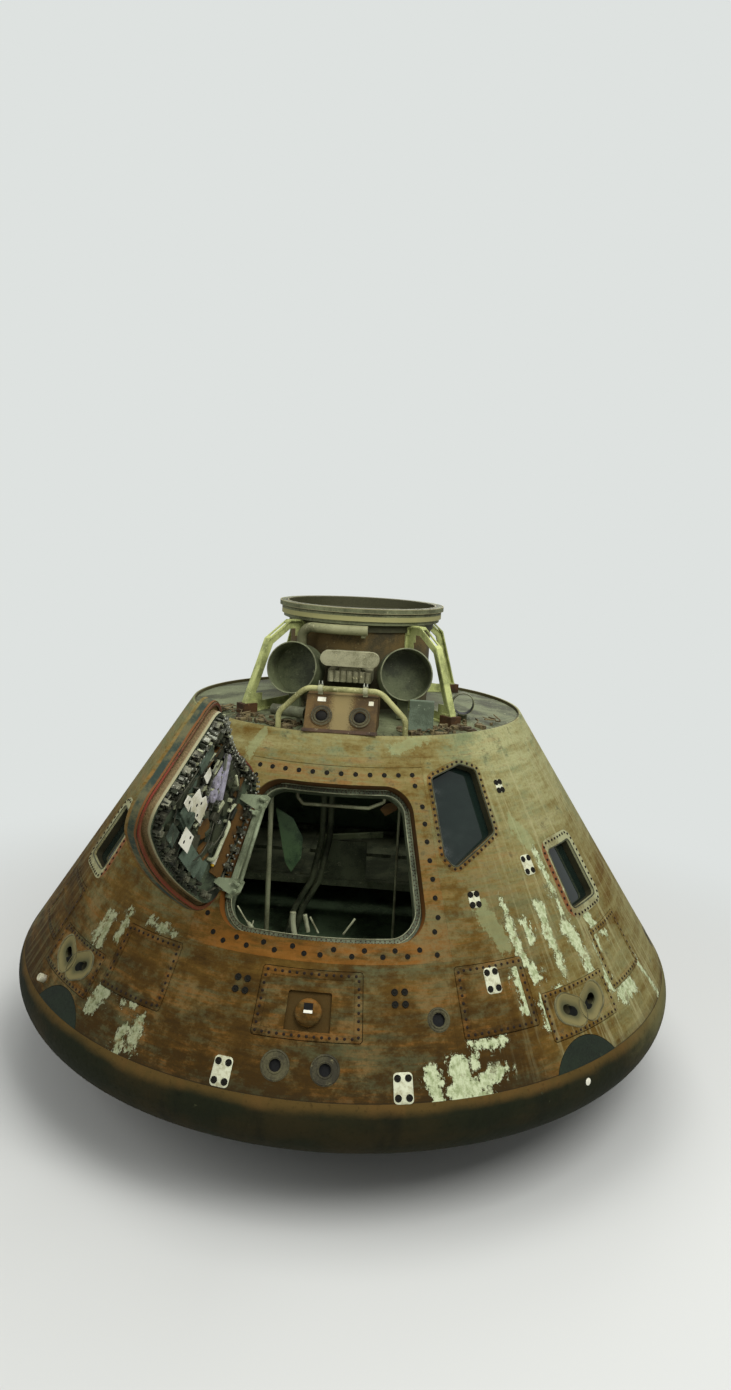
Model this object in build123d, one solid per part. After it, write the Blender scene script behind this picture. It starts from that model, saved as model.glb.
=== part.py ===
from build123d import *
import os
from math import asin, atan2, cos, degrees, hypot, radians, sin, sqrt, tan

# A space capsule that has flown and landed, standing upright on its round heat shield.
# The frame: millimetres, +Z up, origin under the middle of the shield, the doorway towards -Y.
# An azimuth is in degrees from the doorway's middle, growing towards +X.
# A rise is a height above the centre of the shield's rounded rim.
# A depth is measured into the cone wall from its outside, square to it.

# Outside shape
DISH_RADIUS = 4694
RIM_CORNER_RADIUS = 196
BODY_RADIUS = 1956
LIP_RADIUS = 998.8
LIP_RISE = 1532
WALL = 110
SHIELD_WALL = 90
REST_FLAT_RADIUS = 120
PANEL_GAP = 0.5

# Seams of the wall: the belt's rise, and the shoulder's drop below the lip
BELT_RISE = 591
SHOULDER_DROP = 97

# Azimuths of the wall's upright seams, for one side; the other side is its mirror
SURROUND_HALF_ANGLE = 23.4
WINDOW_WALL_END_ANGLE = 47.0
SIDE_WALL_END_ANGLE = 100.0
LOWER_FRONT_HALF_ANGLE = 22.0
LOWER_SIDE_END_ANGLE = 72.0

# Line let into the surround under the shoulder
SURROUND_SEAM_DROP = 47
SEAM_GROOVE = 3

# Doorway: its sill above the belt, its head below the shoulder, and its inner frame
DOOR_HALF_ANGLE = 19.7
DOOR_SILL_HEIGHT = 80
DOOR_HEAD_DROP = 125
DOOR_CORNER_RADIUS = 150
FRAME_LIP = 32

# Hatch
HATCH_GAP = 12
HATCH_INNER_GAP = 22
HATCH_SHELL_THICK = 52
HATCH_SEAL_THICK = 8
HATCH_PLATE_THICK = 40
SEAL_INSET = 6
SEAL_WIDTH = 16
SEAL_ROOM = 5.5
HATCH_WINDOW_RADIUS = 118
HATCH_WINDOW_DROP = 225

# Hinge: pins on two levels, beside the doorway and a little proud of the wall
HINGE_AZIMUTH = -20.9
HINGE_PROUD = 30
HINGE_PIN_RADIUS = 9
HINGE_FIT = 0.4
HINGE_PLATE_THICK = 18
LOW_HINGE_HEIGHT = 144
HIGH_HINGE_DROP = 160
OPEN_ANGLE = 100.5
SWING_ROOM = 6
JAMB_CLEAR = 5
BAR_WIDTH = 22
BAR_THICK = 22
BAR_OVERHANG = 60
KNUCKLE_RADIUS = 20
LUG_THICK = 12
LUG_GAP = 5
LUG_RADIUS = 14
LUG_REACH = 32
LUG_ROOT_DEPTH = 30
LUG_TOP_HEIGHT = 4

# Latches round the hatch's inner plate, its gearbox and its handle
LATCH_WIDTH = 46
LATCH_LENGTH = 34
LATCH_HEIGHT = 34
LATCH_BASE = 16
LATCH_CHEEK = 8
LATCH_ROLLER_RADIUS = 10
LATCH_INSET = 32
LATCH_ROD_RADIUS = 5
SIDE_LATCHES = 6
END_LATCHES = 4
GEARBOX_AZIMUTH = 6.5
GEARBOX_HEIGHT = 216
GEARBOX_SIZE = (120, 100, 34)
GEARBOX_PLATE_THICK = 8
GEARBOX_PLATE_SIZE = (150, 96)
GEARBOX_PLATE_SHIFT = (16, 10)
KNOB_RADIUS = 26
KNOB_PROUD = 12
# Flat fittings on the inner plate: azimuth, height above the doorway's sill, width, length, thickness
PLATE_FITTINGS = (
    (4.2, 129, 150, 84, 12),
    (-4.0, 130, 120, 66, 26),
    (-8.6, 138, 60, 90, 16),
    (9.6, 320, 46, 120, 18),
)
VALVE_AZIMUTH = -2.6
VALVE_HEIGHT = 258
VALVE_RADIUS = 52
VALVE_PROUD = 26
BRIDGE_AZIMUTH = 1.4
BRIDGE_SIZE = (40, 10)
BRIDGE_FOOT = 24
BRIDGE_HEIGHT = 18
BRIDGE_WINDOW_GAP = 10
LEVER_SIZE = (34, 176, 14)
LEVER_TURN = -35
LEVER_SHIFT = (-33, 38)
# Discs on the bridge: distance across and up from its middle, and radius
BRIDGE_DISCS = ((18, 0, 30), (-9, -55, 32))
DISC_THICK = 12
DISC_BORE_RADIUS = 11
HANDLE_AZIMUTH = -10.2
HANDLE_HEIGHT = 274
HANDLE_HALF_LENGTH = 96
HANDLE_STANDOFF = 34
HANDLE_TUBE_RADIUS = 9
HANDLE_BEND_RADIUS = 22

# Forward windows: outline as azimuth and drop below the shoulder, right-hand side
FORWARD_GLASS = ((25.8, 94), (35.1, 41), (39.9, 73), (39.6, 356), (27.3, 481), (25.5, 430))
# Side windows: outline as azimuth and height above the belt, right-hand side
SIDE_GLASS = ((54.4, 349), (65.4, 349), (65.4, 81), (54.4, 81))
WINDOW_CORNER_RADIUS = 26
FORWARD_FRAME_RIM = 30
SIDE_FRAME_RIM = 56
WINDOW_FRAME_THICK = 14
GLASS_THICK = 22
GLASS_DEPTH = 52
GLASS_SEAT = 10

# Lower engine ports: how far above the seam, and the round vent port below the belt
PORT_AZIMUTHS = (-3.8, 3.1)
PORT_SEAM_GAP = 54
PORT_RING_RADIUS = 66
PORT_BORE_RADIUS = 27
VENT_AZIMUTH = 19.7
VENT_DROP = 206
VENT_RING_RADIUS = 54
VENT_BORE_RADIUS = 30
PORT_THICK = 40
PORT_FIT = 0.4

# Covers let into the lower wall
COVER_THICK = 24
COVER_FIT = 2.5
COVER_CORNER_RADIUS = 18
CENTRE_COVER_HALF_ANGLE = 8.2
CENTRE_COVER_DROP = 26
CENTRE_COVER_PORT_GAP = 37
ACCESS_COVER_ANGLES = (23.3, 36.6)
ACCESS_COVER_DROP = 20
ACCESS_COVER_HEIGHT = 271
SIDE_COVER_ANGLES = (55.6, 69.0)
SIDE_COVER_DROP = 28
SIDE_COVER_HEIGHT = 268

# Square recess in the centre cover, with the vent boss standing in it
RECESS_HALF_ANGLE = 3.4
RECESS_LOW_MARGIN = 26
RECESS_HIGH_MARGIN = 81
RECESS_DEPTH = 14
RECESS_CORNER_RADIUS = 10
BOSS_RECESS_GAP = 28
BOSS_PROUD = 20

# Roll engine panel: two long dishes that meet in a heart, each with an oblique bore
ROLL_PANEL_ANGLES = (38.2, 54.3)
ROLL_PANEL_SEAM_GAP = 112
ROLL_PANEL_HEIGHT = 190
ROLL_DISH_SPREAD = 82
ROLL_DISH_RADIUS = 66
ROLL_DISH_DEPTH = 15
ROLL_DISH_RUN = 70
ROLL_DISH_TURN = 28
ROLL_BORE_RADIUS = 25
ROLL_BORE_LEAN = 42
ROLL_BORE_DEPTH = 88

# Antenna covers: half-rounds let into the wall on the seam, under the roll engine panels
ANTENNA_AZIMUTH = 43.4
ANTENNA_HALF_WIDTH = 218
ANTENNA_PANEL_GAP = 8

# Yaw engine ports and covers on the rear half of the lower wall, and the umbilical cover
YAW_PORT_AZIMUTHS = (86.4, 93.3)
REAR_COVER_ANGLES = ((104.0, 117.0), (146.0, 160.0))
UMBILICAL_ANGLES = (124.0, 136.0)
UMBILICAL_SEAM_GAP = 120
UMBILICAL_BELT_GAP = 90
UMBILICAL_PROUD = 34
UMBILICAL_CORNER_RADIUS = 70

# Forward deck and tunnel
LIP_THICK = 14
DECK_THICK = 26
DECK_EDGE_DROP = 17
DECK_SLOPE_RISE = 48
TUNNEL_RADIUS = 400
TUNNEL_WALL = 24
TUNNEL_FOOT_DROP = 107

# Docking ring, from its top down; how far each band stands out from the tunnel
RING_TOP_HEIGHT = 611
FLANGE_THICK = 28
RING_GROOVE_HEIGHT = 6
BAND_HEIGHT = 40
NECK_HEIGHT = 20
NECK_SLOPE_HEIGHT = 14
ROOT_HEIGHT = 30
FLANGE_REACH = 73
BAND_REACH = 60
NECK_REACH = 48
ROOT_REACH = 14
BORE_REACH = 22
BORE_STEP_DEPTH = 58

# Gussets between the deck and the ring
GUSSET_AZIMUTHS = (45, 135, 225, 315)
FOOT_INSET = 178
FOOT_LENGTH = 90
FOOT_WIDTH = 76
FOOT_HEIGHT = 53
KNEE_INSET = 116
KNEE_DROP = 104
GUSSET_TOP_REACH = 73
GUSSET_WIDTH = 44
GUSSET_FLANGE = 9
GUSSET_WEB = 6
GUSSET_WEB_BAND = 52
GUSSET_SLOT_WIDTH = 26
GUSSET_SLOT_DEPTH = 20
GUSSET_SLOT_MARGIN = 24

# Mortar tubes beside the front gussets, right-hand one
MORTAR_INSET = 318
MORTAR_STANDOFF = 71
MORTAR_HEIGHT = 276
MORTAR_AZIMUTH = 12
MORTAR_TILT = 12
MORTAR_RADIUS = 145
MORTAR_WALL = 6
MORTAR_LENGTH = 150
MORTAR_FOOT_WIDTH = 60
MORTAR_FOOT_LENGTH = 80

# Pitch engine box at the lip, with two ports in its sloping front
PITCH_HEIGHT = 179
PITCH_TOP_LENGTH = 147
PITCH_WIDTH = 374
PITCH_SETBACK = 4
PITCH_BASE_GAP = 1
PITCH_PORT_HEIGHT = 80
PITCH_PORT_REACH = 100
PITCH_RING_RADIUS = 56
PITCH_RING_PROUD = 6
PITCH_BORE_RADIUS = 31
PITCH_BORE_DEPTH = 60

# Recovery loop over the engine box
LOOP_INSET = 38
LOOP_HALF_WIDTH = 336
LOOP_KNEE_HEIGHT = 73
LOOP_TUBE_RADIUS = 15
LOOP_BOX_GAP = 18
LOOP_SIDE_GAP = 9
LOOP_LOW_BEND_RADIUS = 60
LOOP_TOP_BEND_RADIUS = 90
CLAMP_REACH = 118
CLAMP_WIDTH = 24
CLAMP_THICK = 6
CLAMP_FIT = 0.3

# Sling pack on the front of the tunnel: a pleated block under a round-ended bar
PACK_HALF_WIDTH = 122
PACK_LOW_HEIGHT = 206
PACK_HIGH_HEIGHT = 268
PACK_REACH = 150
PLEAT_RADIUS = 17.5
PLEATS = 7
PACK_BAR_HALF_LENGTH = 163
PACK_BAR_HEIGHT = 84
PACK_BAR_THICK = 40
PACK_BAR_RISE = 296
PACK_BAR_REACH = 188
PACK_WEB_HALF_WIDTH = 60
PACK_NECK_HALF_WIDTH = 96
PACK_NECK_INSET = 16

# Elbow duct: up from the deck beside the left mortar tube and round under the docking ring
# azimuth and distance off the tunnel of its upright, its bend and its end
ELBOW_PLACES = ((-36.5, 80), (-13.9, 68), (9.7, 54))
ELBOW_RADIUS = 28
ELBOW_RING_GAP = 4
ELBOW_BEND_RADII = (70, 60)
ELBOW_BRACKET = 24
ELBOW_BRACKET_DROP = 30

# Upright box on the deck in front of the right mortar tube
DECK_BOX_AZIMUTH = 29.2
DECK_BOX_INSET = 137
DECK_BOX_WIDTH = 130
DECK_BOX_DEPTH = 56
DECK_BOX_HEIGHT = 155

# Canister beside the engine box
CANISTER_INSET = 142
CANISTER_BOX_GAP = 15
CANISTER_HEIGHT = 63
CANISTER_AZIMUTH = 70
CANISTER_RADIUS = 30
CANISTER_LENGTH = 200
CANISTER_LEG = 20
CANISTER_LEG_SHARES = (-0.3, 0.3)

# Small open duct on the deck
DUCT_AZIMUTH = 55.1
DUCT_INSET = 204
DUCT_HEIGHT = 99
DUCT_TILT = 6
DUCT_RADIUS = 62
DUCT_WALL = 5
DUCT_LENGTH = 150
DUCT_FOOT_WIDTH = 50
DUCT_FOOT_LENGTH = 80

# Cabin
FLOOR_RISE = 175
FLOOR_THICK = 30
BAY_HALF_WIDTH = 640
BAY_LENGTH = 320
BAY_HEIGHT = 750
BAY_ROOM = 108
BAY_SHEET = 30
COUCH_HEIGHT = 350
COUCH_HALF_WIDTH = 860
COUCH_LENGTH = 1000
COUCH_BAY_GAP = 80
COUCH_BEAM = 40
SEAT_LAP = 10
SEAT_GAP = 20
SEAT_PAN_SHARES = (-0.24, 0.2)
SEAT_PAN_LENGTH = 380
SEAT_PAN_THICK = 24
LEG_REST_SIZE = (270, 24, 250)
STRUT_RADIUS = 24
CONSOLE_SIZE = (1300, 44, 420)
CONSOLE_Y = 300
CONSOLE_DROP = 240
CONSOLE_TILT = -30
CHEEK_THICK = 30
CHEEK_DEPTH = 60
CHEEK_REACH = 250

# Handrail under the doorway's head, as (x, height above the rail); it hangs from the wall over the doorway
HANDRAIL_RADIUS = 9
HANDRAIL_REACH = 1018
HANDRAIL_DROP = 150
HANDRAIL_PLACES = ((-195, 35), (-165, 0), (175, 0), (255, 40))
HANDRAIL_BEND_RADIUS = 18

# Uprights from the floor to the wall beside the doorway: x, y, radius
UPRIGHTS = ((-345, -950, 14), (330, -900, 7))

# Pair of hoses from the deck's underside down to the floor
# x beside the pair's middle, height above the floor
HOSE_RADIUS = 17
HOSE_SPACING = 44
HOSE_X = -90
HOSE_Y = -560
HOSE_PLACES = ((0, 662), (-50, 402), (-140, 232), (-180, 75))
HOSE_BEND_RADII = (200, 120, 60, 60)


# Outside geometry that the sizes above fix: the cone's line is tangent to the rim's circle
corner_centre_r = BODY_RADIUS - RIM_CORNER_RADIUS
dish_centre_z = sqrt(DISH_RADIUS**2 - REST_FLAT_RADIUS**2)
dish_to_corner = DISH_RADIUS - RIM_CORNER_RADIUS
rim_z = dish_centre_z - sqrt(dish_to_corner**2 - corner_centre_r**2)
lip_to_corner = hypot(corner_centre_r - LIP_RADIUS, LIP_RISE)
half = atan2(corner_centre_r - LIP_RADIUS, LIP_RISE) + asin(RIM_CORNER_RADIUS / lip_to_corner)
seam_r = corner_centre_r + RIM_CORNER_RADIUS * cos(half)
seam_z = rim_z + RIM_CORNER_RADIUS * sin(half)

# Levels
lip_z = rim_z + LIP_RISE
belt_z = rim_z + BELT_RISE
shoulder_z = lip_z - SHOULDER_DROP
door_low_z = belt_z + DOOR_SILL_HEIGHT
door_high_z = shoulder_z - DOOR_HEAD_DROP
door_middle_z = (door_low_z + door_high_z) / 2
hinge_levels = (door_low_z + LOW_HINGE_HEIGHT, door_high_z - HIGH_HINGE_DROP)
frame_depth = HATCH_SHELL_THICK + PANEL_GAP + HATCH_SEAL_THICK + SEAL_ROOM
floor_z = rim_z + FLOOR_RISE
tunnel_foot_z = lip_z - TUNNEL_FOOT_DROP

NODES = {}


def cone_r(z):
    """Radius of the cone's outside at a level."""
    return seam_r - (z - seam_z) * tan(half)


def wall_rz(z, depth):
    """Radius and level of the point at a depth under the outside point at level z."""
    return cone_r(z) - depth * cos(half), z - depth * sin(half)


def inside_r(z, depth=WALL):
    """Radius of the surface at a depth, read at a true level."""
    return cone_r(z) - depth / cos(half)


def at_azimuth(shape, azimuth):
    """Turn a shape made in front of the capsule, at azimuth 0, to its own azimuth."""
    return shape.rotate(Axis.Z, azimuth)


def ring_of(points):
    """Full ring with this outline of (radius, z) points."""
    outline = make_face(Polyline([(r, 0, z) for r, z in points], close=True))
    return revolve(outline, axis=Axis.Z, revolution_arc=360)


def wall_sector(z_low, z_high, start, end, depth_from=0, depth_to=WALL):
    """Piece of the cone wall between two levels, two azimuths and two depths."""
    corners = [wall_rz(z_low, depth_from), wall_rz(z_high, depth_from)]
    corners += [wall_rz(z_high, depth_to), wall_rz(z_low, depth_to)]
    outline = make_face(Polyline([(r, 0, z) for r, z in corners], close=True))
    return revolve(outline, axis=Axis.Z, revolution_arc=end - start).rotate(Axis.Z, start - 90)


def wall_patch(z_low, z_high, start, end, corner, depth_from=0, depth_to=WALL, inset=0):
    """Sector with rounded corners, drawn in on all sides by inset."""
    turn = degrees(inset / cone_r((z_low + z_high) / 2))
    rise = inset * cos(half)
    deep = wall_sector(z_low + rise, z_high - rise, start + turn, end - turn, -WALL, 2 * WALL)
    square_edges = [e for e in deep.edges().filter_by(GeomType.LINE) if abs(e.length - 3 * WALL) < 0.01]
    rounded = fillet(square_edges, corner - inset)
    reach = degrees(WALL / cone_r(z_high))
    layer = wall_sector(z_low - WALL, z_high + WALL, start - reach, end + reach, depth_from, depth_to)
    return rounded & layer


def wall_plane(azimuth, z, depth=0):
    """Plane on the wall: x along the level, y up the slope, z out of the wall."""
    a = radians(azimuth)
    r, level = wall_rz(z, depth)
    return Plane(
        origin=(r * sin(a), -r * cos(a), level),
        x_dir=(cos(a), sin(a), 0),
        z_dir=(cos(half) * sin(a), -cos(half) * cos(a), sin(half)),
    )


def on_plane(plane, azimuth, z):
    """Where a wall point given by azimuth and level falls on a wall plane."""
    a = radians(azimuth)
    point = plane.to_local_coords(Vector(cone_r(z) * sin(a), -cone_r(z) * cos(a), z))
    return point.X, point.Y


def window_prism(outline, grow, depth_from, depth_to):
    """Prism square to the wall with a window's outline, grown by a rim."""
    middle_a = sum(a for a, z in outline) / len(outline)
    middle_z = sum(z for a, z in outline) / len(outline)
    plane = wall_plane(middle_a, middle_z)
    points = [on_plane(plane, a, z) for a, z in outline]
    face = make_face(Polyline(points, close=True))
    face = offset(face, grow, kind=Kind.INTERSECTION) if grow else face
    face = fillet(face.vertices(), WINDOW_CORNER_RADIUS + grow)
    return plane * Pos(0, 0, -depth_to) * extrude(face, depth_to - depth_from)


def mirrored(shape):
    """The same shape on the other side of the capsule."""
    return mirror(shape, about=Plane.YZ)


def keep(name, shape):
    """Name a finished piece."""
    NODES[name] = shape


def keep_pair(name, right_shape):
    """Name a piece on the right and its mirror on the left."""
    keep("right_" + name, right_shape)
    keep("left_" + name, mirrored(right_shape))


def keep_both(name, right_shape):
    """Name a small piece on the right and its mirror together."""
    keep(name, Compound([*right_shape.solids(), *mirrored(right_shape).solids()]))


# Aft heat shield: a shallow dish with a rounded rim, hollow above.
# It is crushed flat over a small round where it stands.
inner_dish_radius = DISH_RADIUS - SHIELD_WALL
inner_rim_radius = RIM_CORNER_RADIUS - SHIELD_WALL


def dish_point(radius, r):
    """Point of a dish of this radius about the dish's centre, at radius r from the axis."""
    return (r, 0, dish_centre_z - sqrt(radius**2 - r**2))


def rim_point(radius, angle):
    """Point of the rounded rim at an angle above the level line through its centre."""
    return (corner_centre_r + radius * cos(angle), 0, rim_z + radius * sin(angle))


dish_end_r = corner_centre_r * DISH_RADIUS / dish_to_corner
inner_dish_end_r = corner_centre_r * inner_dish_radius / dish_to_corner
dish_end = dish_point(DISH_RADIUS, dish_end_r)
inner_dish_end = dish_point(inner_dish_radius, inner_dish_end_r)
flat_end = (REST_FLAT_RADIUS, 0, 0)
inner_dish_top = dish_point(inner_dish_radius, 0)
shield_outline = [
    Line((0, 0, 0), flat_end),
    ThreePointArc(flat_end, dish_point(DISH_RADIUS, dish_end_r / 2), dish_end),
    ThreePointArc(dish_end, rim_point(RIM_CORNER_RADIUS, 0), rim_point(RIM_CORNER_RADIUS, half)),
    Line(rim_point(RIM_CORNER_RADIUS, half), rim_point(inner_rim_radius, half)),
    ThreePointArc(rim_point(inner_rim_radius, half), rim_point(inner_rim_radius, 0), inner_dish_end),
    ThreePointArc(inner_dish_end, dish_point(inner_dish_radius, inner_dish_end_r / 2), inner_dish_top),
    Line(inner_dish_top, (0, 0, 0)),
]
keep("aft_heat_shield", revolve(make_face(Curve() + shield_outline), axis=Axis.Z, revolution_arc=360))


# Cone wall: sectors that meet at the seams, each as thick as the whole wall
def panel(z_low, z_high, start, end):
    """Wall sector with half a seam's gap off each side."""
    turn = degrees(PANEL_GAP / 2 / cone_r(z_high))
    rise = PANEL_GAP / 2 * cos(half)
    return wall_sector(z_low + rise, z_high - rise, start + turn, end - turn)


lower_front = panel(seam_z, belt_z, -LOWER_FRONT_HALF_ANGLE, LOWER_FRONT_HALF_ANGLE)
lower_side = panel(seam_z, belt_z, LOWER_FRONT_HALF_ANGLE, LOWER_SIDE_END_ANGLE)
lower_rear = panel(seam_z, belt_z, LOWER_SIDE_END_ANGLE, 180)
surround = panel(belt_z, shoulder_z, -SURROUND_HALF_ANGLE, SURROUND_HALF_ANGLE)
window_wall = panel(belt_z, shoulder_z, SURROUND_HALF_ANGLE, WINDOW_WALL_END_ANGLE)
side_wall = panel(belt_z, shoulder_z, WINDOW_WALL_END_ANGLE, SIDE_WALL_END_ANGLE)
rear_wall = panel(belt_z, shoulder_z, SIDE_WALL_END_ANGLE, 180)

# Levels in the lower wall: the engine ports stand over the seam, the covers hang from the belt
port_z = seam_z + PORT_SEAM_GAP + PORT_RING_RADIUS * cos(half)
centre_low_z = port_z + PORT_RING_RADIUS * cos(half) + CENTRE_COVER_PORT_GAP
centre_high_z = belt_z - CENTRE_COVER_DROP
access_high_z = belt_z - ACCESS_COVER_DROP
side_high_z = belt_z - SIDE_COVER_DROP
roll_low_z = seam_z + ROLL_PANEL_SEAM_GAP
roll_high_z = roll_low_z + ROLL_PANEL_HEIGHT
vent_z = belt_z - VENT_DROP

# Covers let into the lower wall, right side unless middle
# name, first azimuth, last azimuth, low z, high z
COVERS = (
    ("centre_access_cover", -CENTRE_COVER_HALF_ANGLE, CENTRE_COVER_HALF_ANGLE, centre_low_z, centre_high_z),
    ("access_cover", *ACCESS_COVER_ANGLES, access_high_z - ACCESS_COVER_HEIGHT, access_high_z),
    ("roll_engine_panel", *ROLL_PANEL_ANGLES, roll_low_z, roll_high_z),
    ("side_access_cover", *SIDE_COVER_ANGLES, side_high_z - SIDE_COVER_HEIGHT, side_high_z),
)
covers = {}
for name, start, end, low, high in COVERS:
    covers[name] = wall_patch(low, high, start, end, COVER_CORNER_RADIUS, 0, COVER_THICK, COVER_FIT)
    pocket_floor = COVER_THICK + PANEL_GAP
    pocket = wall_patch(low, high, start, end, COVER_CORNER_RADIUS, -COVER_THICK, pocket_floor)
    if start < 0:
        lower_front -= pocket
    else:
        lower_side -= pocket

# Middle cover: a square recess with a domed vent boss standing in it
recess_low_z = centre_low_z + RECESS_LOW_MARGIN
recess_high_z = centre_high_z - RECESS_HIGH_MARGIN
recess = wall_patch(
    recess_low_z,
    recess_high_z,
    -RECESS_HALF_ANGLE,
    RECESS_HALF_ANGLE,
    RECESS_CORNER_RADIUS,
    -RECESS_DEPTH,
    RECESS_DEPTH,
)
keep("centre_access_cover", covers["centre_access_cover"] - recess)
boss_radius = (recess_high_z - recess_low_z) / 2 / cos(half) - BOSS_RECESS_GAP
boss_plane = wall_plane(0, (recess_low_z + recess_high_z) / 2, RECESS_DEPTH - PANEL_GAP)
boss_body = Cylinder(boss_radius, RECESS_DEPTH + BOSS_PROUD, align=(Align.CENTER, Align.CENTER, Align.MIN))
boss_body = fillet(boss_body.edges().sort_by(Axis.Z)[-1], BOSS_PROUD)
keep("vent_boss", boss_plane * boss_body)

# Roll engine panel: each dish is a ball swept along a short run, and its bore leans along the same run
roll_panel = covers["roll_engine_panel"]
roll_plane = wall_plane(sum(ROLL_PANEL_ANGLES) / 2, (roll_low_z + roll_high_z) / 2)
ball_radius = (ROLL_DISH_RADIUS**2 + ROLL_DISH_DEPTH**2) / (2 * ROLL_DISH_DEPTH)
for side in (-1, 1):
    dish_plane = roll_plane * Pos(side * ROLL_DISH_SPREAD, 0, 0) * Rot(0, 0, side * ROLL_DISH_TURN)
    ball_plane = dish_plane * Pos(0, 0, ball_radius - ROLL_DISH_DEPTH)
    roll_panel -= ball_plane * Rot(0, 90, 0) * Cylinder(ball_radius, ROLL_DISH_RUN)
    for end in (-1, 1):
        roll_panel -= ball_plane * Pos(end * ROLL_DISH_RUN / 2, 0, 0) * Sphere(ball_radius)
    bore = dish_plane * Rot(0, side * -ROLL_BORE_LEAN, 0) * Cylinder(ROLL_BORE_RADIUS, 2 * ROLL_BORE_DEPTH)
    roll_panel -= bore
    lower_side -= bore
keep_both("roll_engine_panels", roll_panel)

# Antenna cover: part of a round plate whose middle lies under the seam
antenna_height = (ROLL_PANEL_SEAM_GAP - ANTENNA_PANEL_GAP) / cos(half)
antenna_radius = (ANTENNA_HALF_WIDTH**2 + antenna_height**2) / (2 * antenna_height)
antenna_centre = wall_plane(ANTENNA_AZIMUTH, seam_z) * Pos(0, antenna_height - antenna_radius, 0)
antenna_levels = (seam_z + PANEL_GAP, roll_low_z, LOWER_FRONT_HALF_ANGLE, LOWER_SIDE_END_ANGLE)
antenna_layer = wall_sector(*antenna_levels, 0, COVER_THICK)
antenna_pocket = wall_sector(seam_z - WALL, *antenna_levels[1:], -COVER_THICK, COVER_THICK + PANEL_GAP)
keep_both("antenna_covers", antenna_centre * Cylinder(antenna_radius - COVER_FIT, 3 * WALL) & antenna_layer)
lower_side -= antenna_centre * Cylinder(antenna_radius, 3 * WALL) & antenna_pocket

keep_both("access_covers", covers["access_cover"])
keep_both("side_access_covers", covers["side_access_cover"])

# Rear half: two flat covers a side, the yaw engine ports, and the proud umbilical cover on the right
rear_covers = []
for start, end in REAR_COVER_ANGLES:
    place = (side_high_z - SIDE_COVER_HEIGHT, side_high_z, start, end, COVER_CORNER_RADIUS)
    rear_covers.append(wall_patch(*place, 0, COVER_THICK, COVER_FIT))
    lower_rear -= wall_patch(*place, -COVER_THICK, pocket_floor)
keep_both("rear_access_covers", Compound(rear_covers))
umbilical_place = (seam_z + UMBILICAL_SEAM_GAP, belt_z - UMBILICAL_BELT_GAP, *UMBILICAL_ANGLES)
umbilical = wall_patch(*umbilical_place, UMBILICAL_CORNER_RADIUS, -UMBILICAL_PROUD, -PANEL_GAP / 2)
keep("umbilical_cover", umbilical)

# Round engine and vent ports: rings let into the wall
# azimuth, z, ring radius, bore radius
PORTS = (
    (PORT_AZIMUTHS[0], port_z, PORT_RING_RADIUS, PORT_BORE_RADIUS),
    (PORT_AZIMUTHS[1], port_z, PORT_RING_RADIUS, PORT_BORE_RADIUS),
    (VENT_AZIMUTH, vent_z, VENT_RING_RADIUS, VENT_BORE_RADIUS),
)


def port_seat(plane, ring_radius):
    """Room in the wall for a port's ring."""
    return plane * Pos(0, 0, -PORT_FIT) * Cylinder(ring_radius + PORT_FIT, 2 * PORT_THICK)


def port_ring(plane, ring_radius, bore_radius):
    """Ring of a port, flush with the wall, with a blind bore."""
    ring = Pos(0, 0, -PORT_THICK / 2) * Cylinder(ring_radius, PORT_THICK)
    return plane * (ring - Pos(0, 0, PORT_THICK / 8) * Cylinder(bore_radius, PORT_THICK))


port_rings = []
for azimuth, z, ring_radius, bore_radius in PORTS:
    plane = wall_plane(azimuth, z)
    lower_front -= port_seat(plane, ring_radius)
    port_rings.append(port_ring(plane, ring_radius, bore_radius))
keep("wall_ports", Compound(port_rings))
yaw_rings = []
for azimuth in YAW_PORT_AZIMUTHS:
    plane = wall_plane(azimuth, port_z)
    lower_rear -= port_seat(plane, PORT_RING_RADIUS)
    yaw_rings.append(port_ring(plane, PORT_RING_RADIUS, PORT_BORE_RADIUS))
keep_both("yaw_ports", Compound(yaw_rings))
keep("lower_front_wall", lower_front)
keep_pair("lower_side_wall", lower_side)
keep_pair("lower_rear_wall", lower_rear)


# Windows: a frame flush with the wall, and a pane seated deeper in its opening
def wall_layer(depth_from, depth_to):
    """Layer of the right-hand wall between two depths, over all that a window may reach."""
    return wall_sector(belt_z, lip_z, 0, SIDE_WALL_END_ANGLE, depth_from, depth_to)


def window(wall, outline, frame_rim):
    """Cut a window into a wall, and make its frame and its pane."""
    reach = 2 * WALL
    rim_layer = wall_layer(0, WINDOW_FRAME_THICK)
    pocket_layer = wall_layer(-WALL, WINDOW_FRAME_THICK + PANEL_GAP)
    pane_layer = wall_layer(GLASS_DEPTH, GLASS_DEPTH + GLASS_THICK)
    groove_layer = wall_layer(GLASS_DEPTH - PANEL_GAP, GLASS_DEPTH + GLASS_THICK + PANEL_GAP)
    opening = window_prism(outline, 0, -reach, reach + WALL)
    rim = window_prism(outline, frame_rim, -reach, reach)
    rim_hole = window_prism(outline, frame_rim + PANEL_GAP, -reach, reach)
    pane = window_prism(outline, GLASS_SEAT, -reach, reach + WALL)
    pane_hole = window_prism(outline, GLASS_SEAT + PANEL_GAP, -reach, reach + WALL)
    cut = wall - opening
    cut -= rim_hole & pocket_layer
    cut -= pane_hole & groove_layer
    frame = (rim & rim_layer) - opening
    glass = pane & pane_layer
    return cut, frame, glass


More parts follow.
